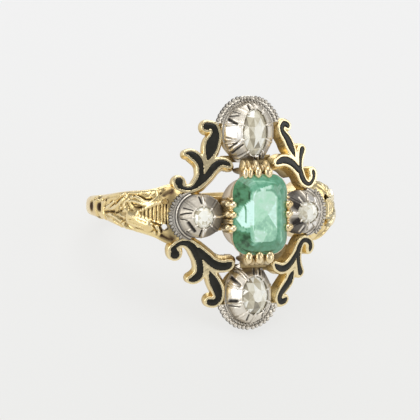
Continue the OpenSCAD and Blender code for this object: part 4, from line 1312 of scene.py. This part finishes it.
def makeNecks():
    # gold bridges from the cup to the two large collets, narrow below and wide above
    look = {
        "at": 4.12, "corner": 0.2, "perCorner": 6, "wave": 0.12, "pitch": 1.05, "darkness": 0.62, "footDark": 0.30,
        # half width, half length, height
        "rows": [(0.50, 0.70, 8.86), (0.62, 0.68, 9.3), (0.92, 0.64, 9.8), (1.22, 0.60, 10.2),
                 (1.28, 0.54, 10.38), (1.15, 0.42, 10.46)]}
    for side, mark in ((1, "top"), (-1, "bottom")):
        loops = [cushion(w, l, look["corner"], z, look["perCorner"]) for w, l, z in look["rows"]]
        points, faces = lofted(loops)
        points[:, 1] += side * look["at"]
        wave = 1 + np.cos(points[:, 0] * 2 * math.pi / look["pitch"])
        points[:, 2] -= look["wave"] * wave * (points[:, 2] > 10)
        # painted shade: the bridges are dark all over and darker still towards their foot
        deep = look["darkness"] + look["footDark"] * np.clip((10.2 - points[:, 2]) / 1.2, 0, 1)
        addPiece("neck_" + mark, points, faces, gold, ("gold_mount",), {"deep": deep}, crease=60)


makeEmerald()
makeCup()
makeClaws()
makeNecks()
print("emerald and claws made")


# Floor, lights and the picture's tones
studio = {
    "floorShade": 0.10, "floorTop": (0.772, 0.772, 0.772), "floorFoot": (0.725, 0.725, 0.708),
    "floorSize": 3.0, "floorFade": 0.045,       # metres from the middle
    "world": 0.38,
    "lights": [     # name, place in millimetres, size, strength
        ("top", (-60, 40, 420), (420, 420), 2.0),
        ("left", (-420, -60, 120), (300, 260), 2.6),
        ("front", (190, -330, 150), (240, 240), 1.3),
        ("back", (150, 380, 180), (360, 240), 2.3),
        ("right", (360, -60, 160), (160, 260), 1.6)]}


def makeStudio():
    low = min(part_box(n)[0].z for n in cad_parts)
    size, fade = studio["floorSize"], studio["floorFade"]
    corners = [(-size, -size, low), (size, -size, low), (size, size, low), (-size, size, low)]
    mesh = bpy.data.meshes.new("floor")
    mesh.from_pydata(corners, [], [(0, 1, 2, 3)])
    m = Finish("paleFloor")
    shade = studio["floorShade"]
    tone = m.blend(m.noise(60, 2), (shade, shade, shade), (shade * 1.02,) * 3)
    place = m.node("ShaderNodeTexCoord", output="Object")
    depth = m.node("ShaderNodeSeparateXYZ", {}, {"Vector": place}, output=1)
    glow = m.blend(m.spread(depth, -fade, fade), studio["floorFoot"], studio["floorTop"])
    mesh.materials.append(m.surface({"Base Color": tone, "Roughness": 0.9, "Specular IOR Level": 0.0,
                                     "Emission Color": glow, "Emission Strength": 1.0}))
    floor = bpy.data.objects.new("floor", mesh)
    bpy.context.scene.collection.objects.link(floor)
    for name, place, (w, h), strength in studio["lights"]:
        light = bpy.data.lights.new(name, "AREA")
        light.shape, light.size, light.size_y = "RECTANGLE", w * 0.001, h * 0.001
        light.energy = strength * math.pi * w * h * 1e-6
        holder = bpy.data.objects.new(name, light)
        holder.location = Vector(place) * 0.001
        holder.rotation_mode = "QUATERNION"
        holder.rotation_quaternion = holder.location.to_track_quat("Z", "Y")
        bpy.context.scene.collection.objects.link(holder)
    world = bpy.data.worlds.new("studio")
    world.use_nodes = True
    world.node_tree.nodes["Background"].inputs["Color"].default_value = (1, 1, 1, 1)
    world.node_tree.nodes["Background"].inputs["Strength"].default_value = studio["world"]
    scene = bpy.context.scene
    scene.world = world
    scene.view_settings.view_transform = "Standard"
    scene.view_settings.look = "None"
    scene.view_settings.exposure = 0


makeStudio()
print("studio made")
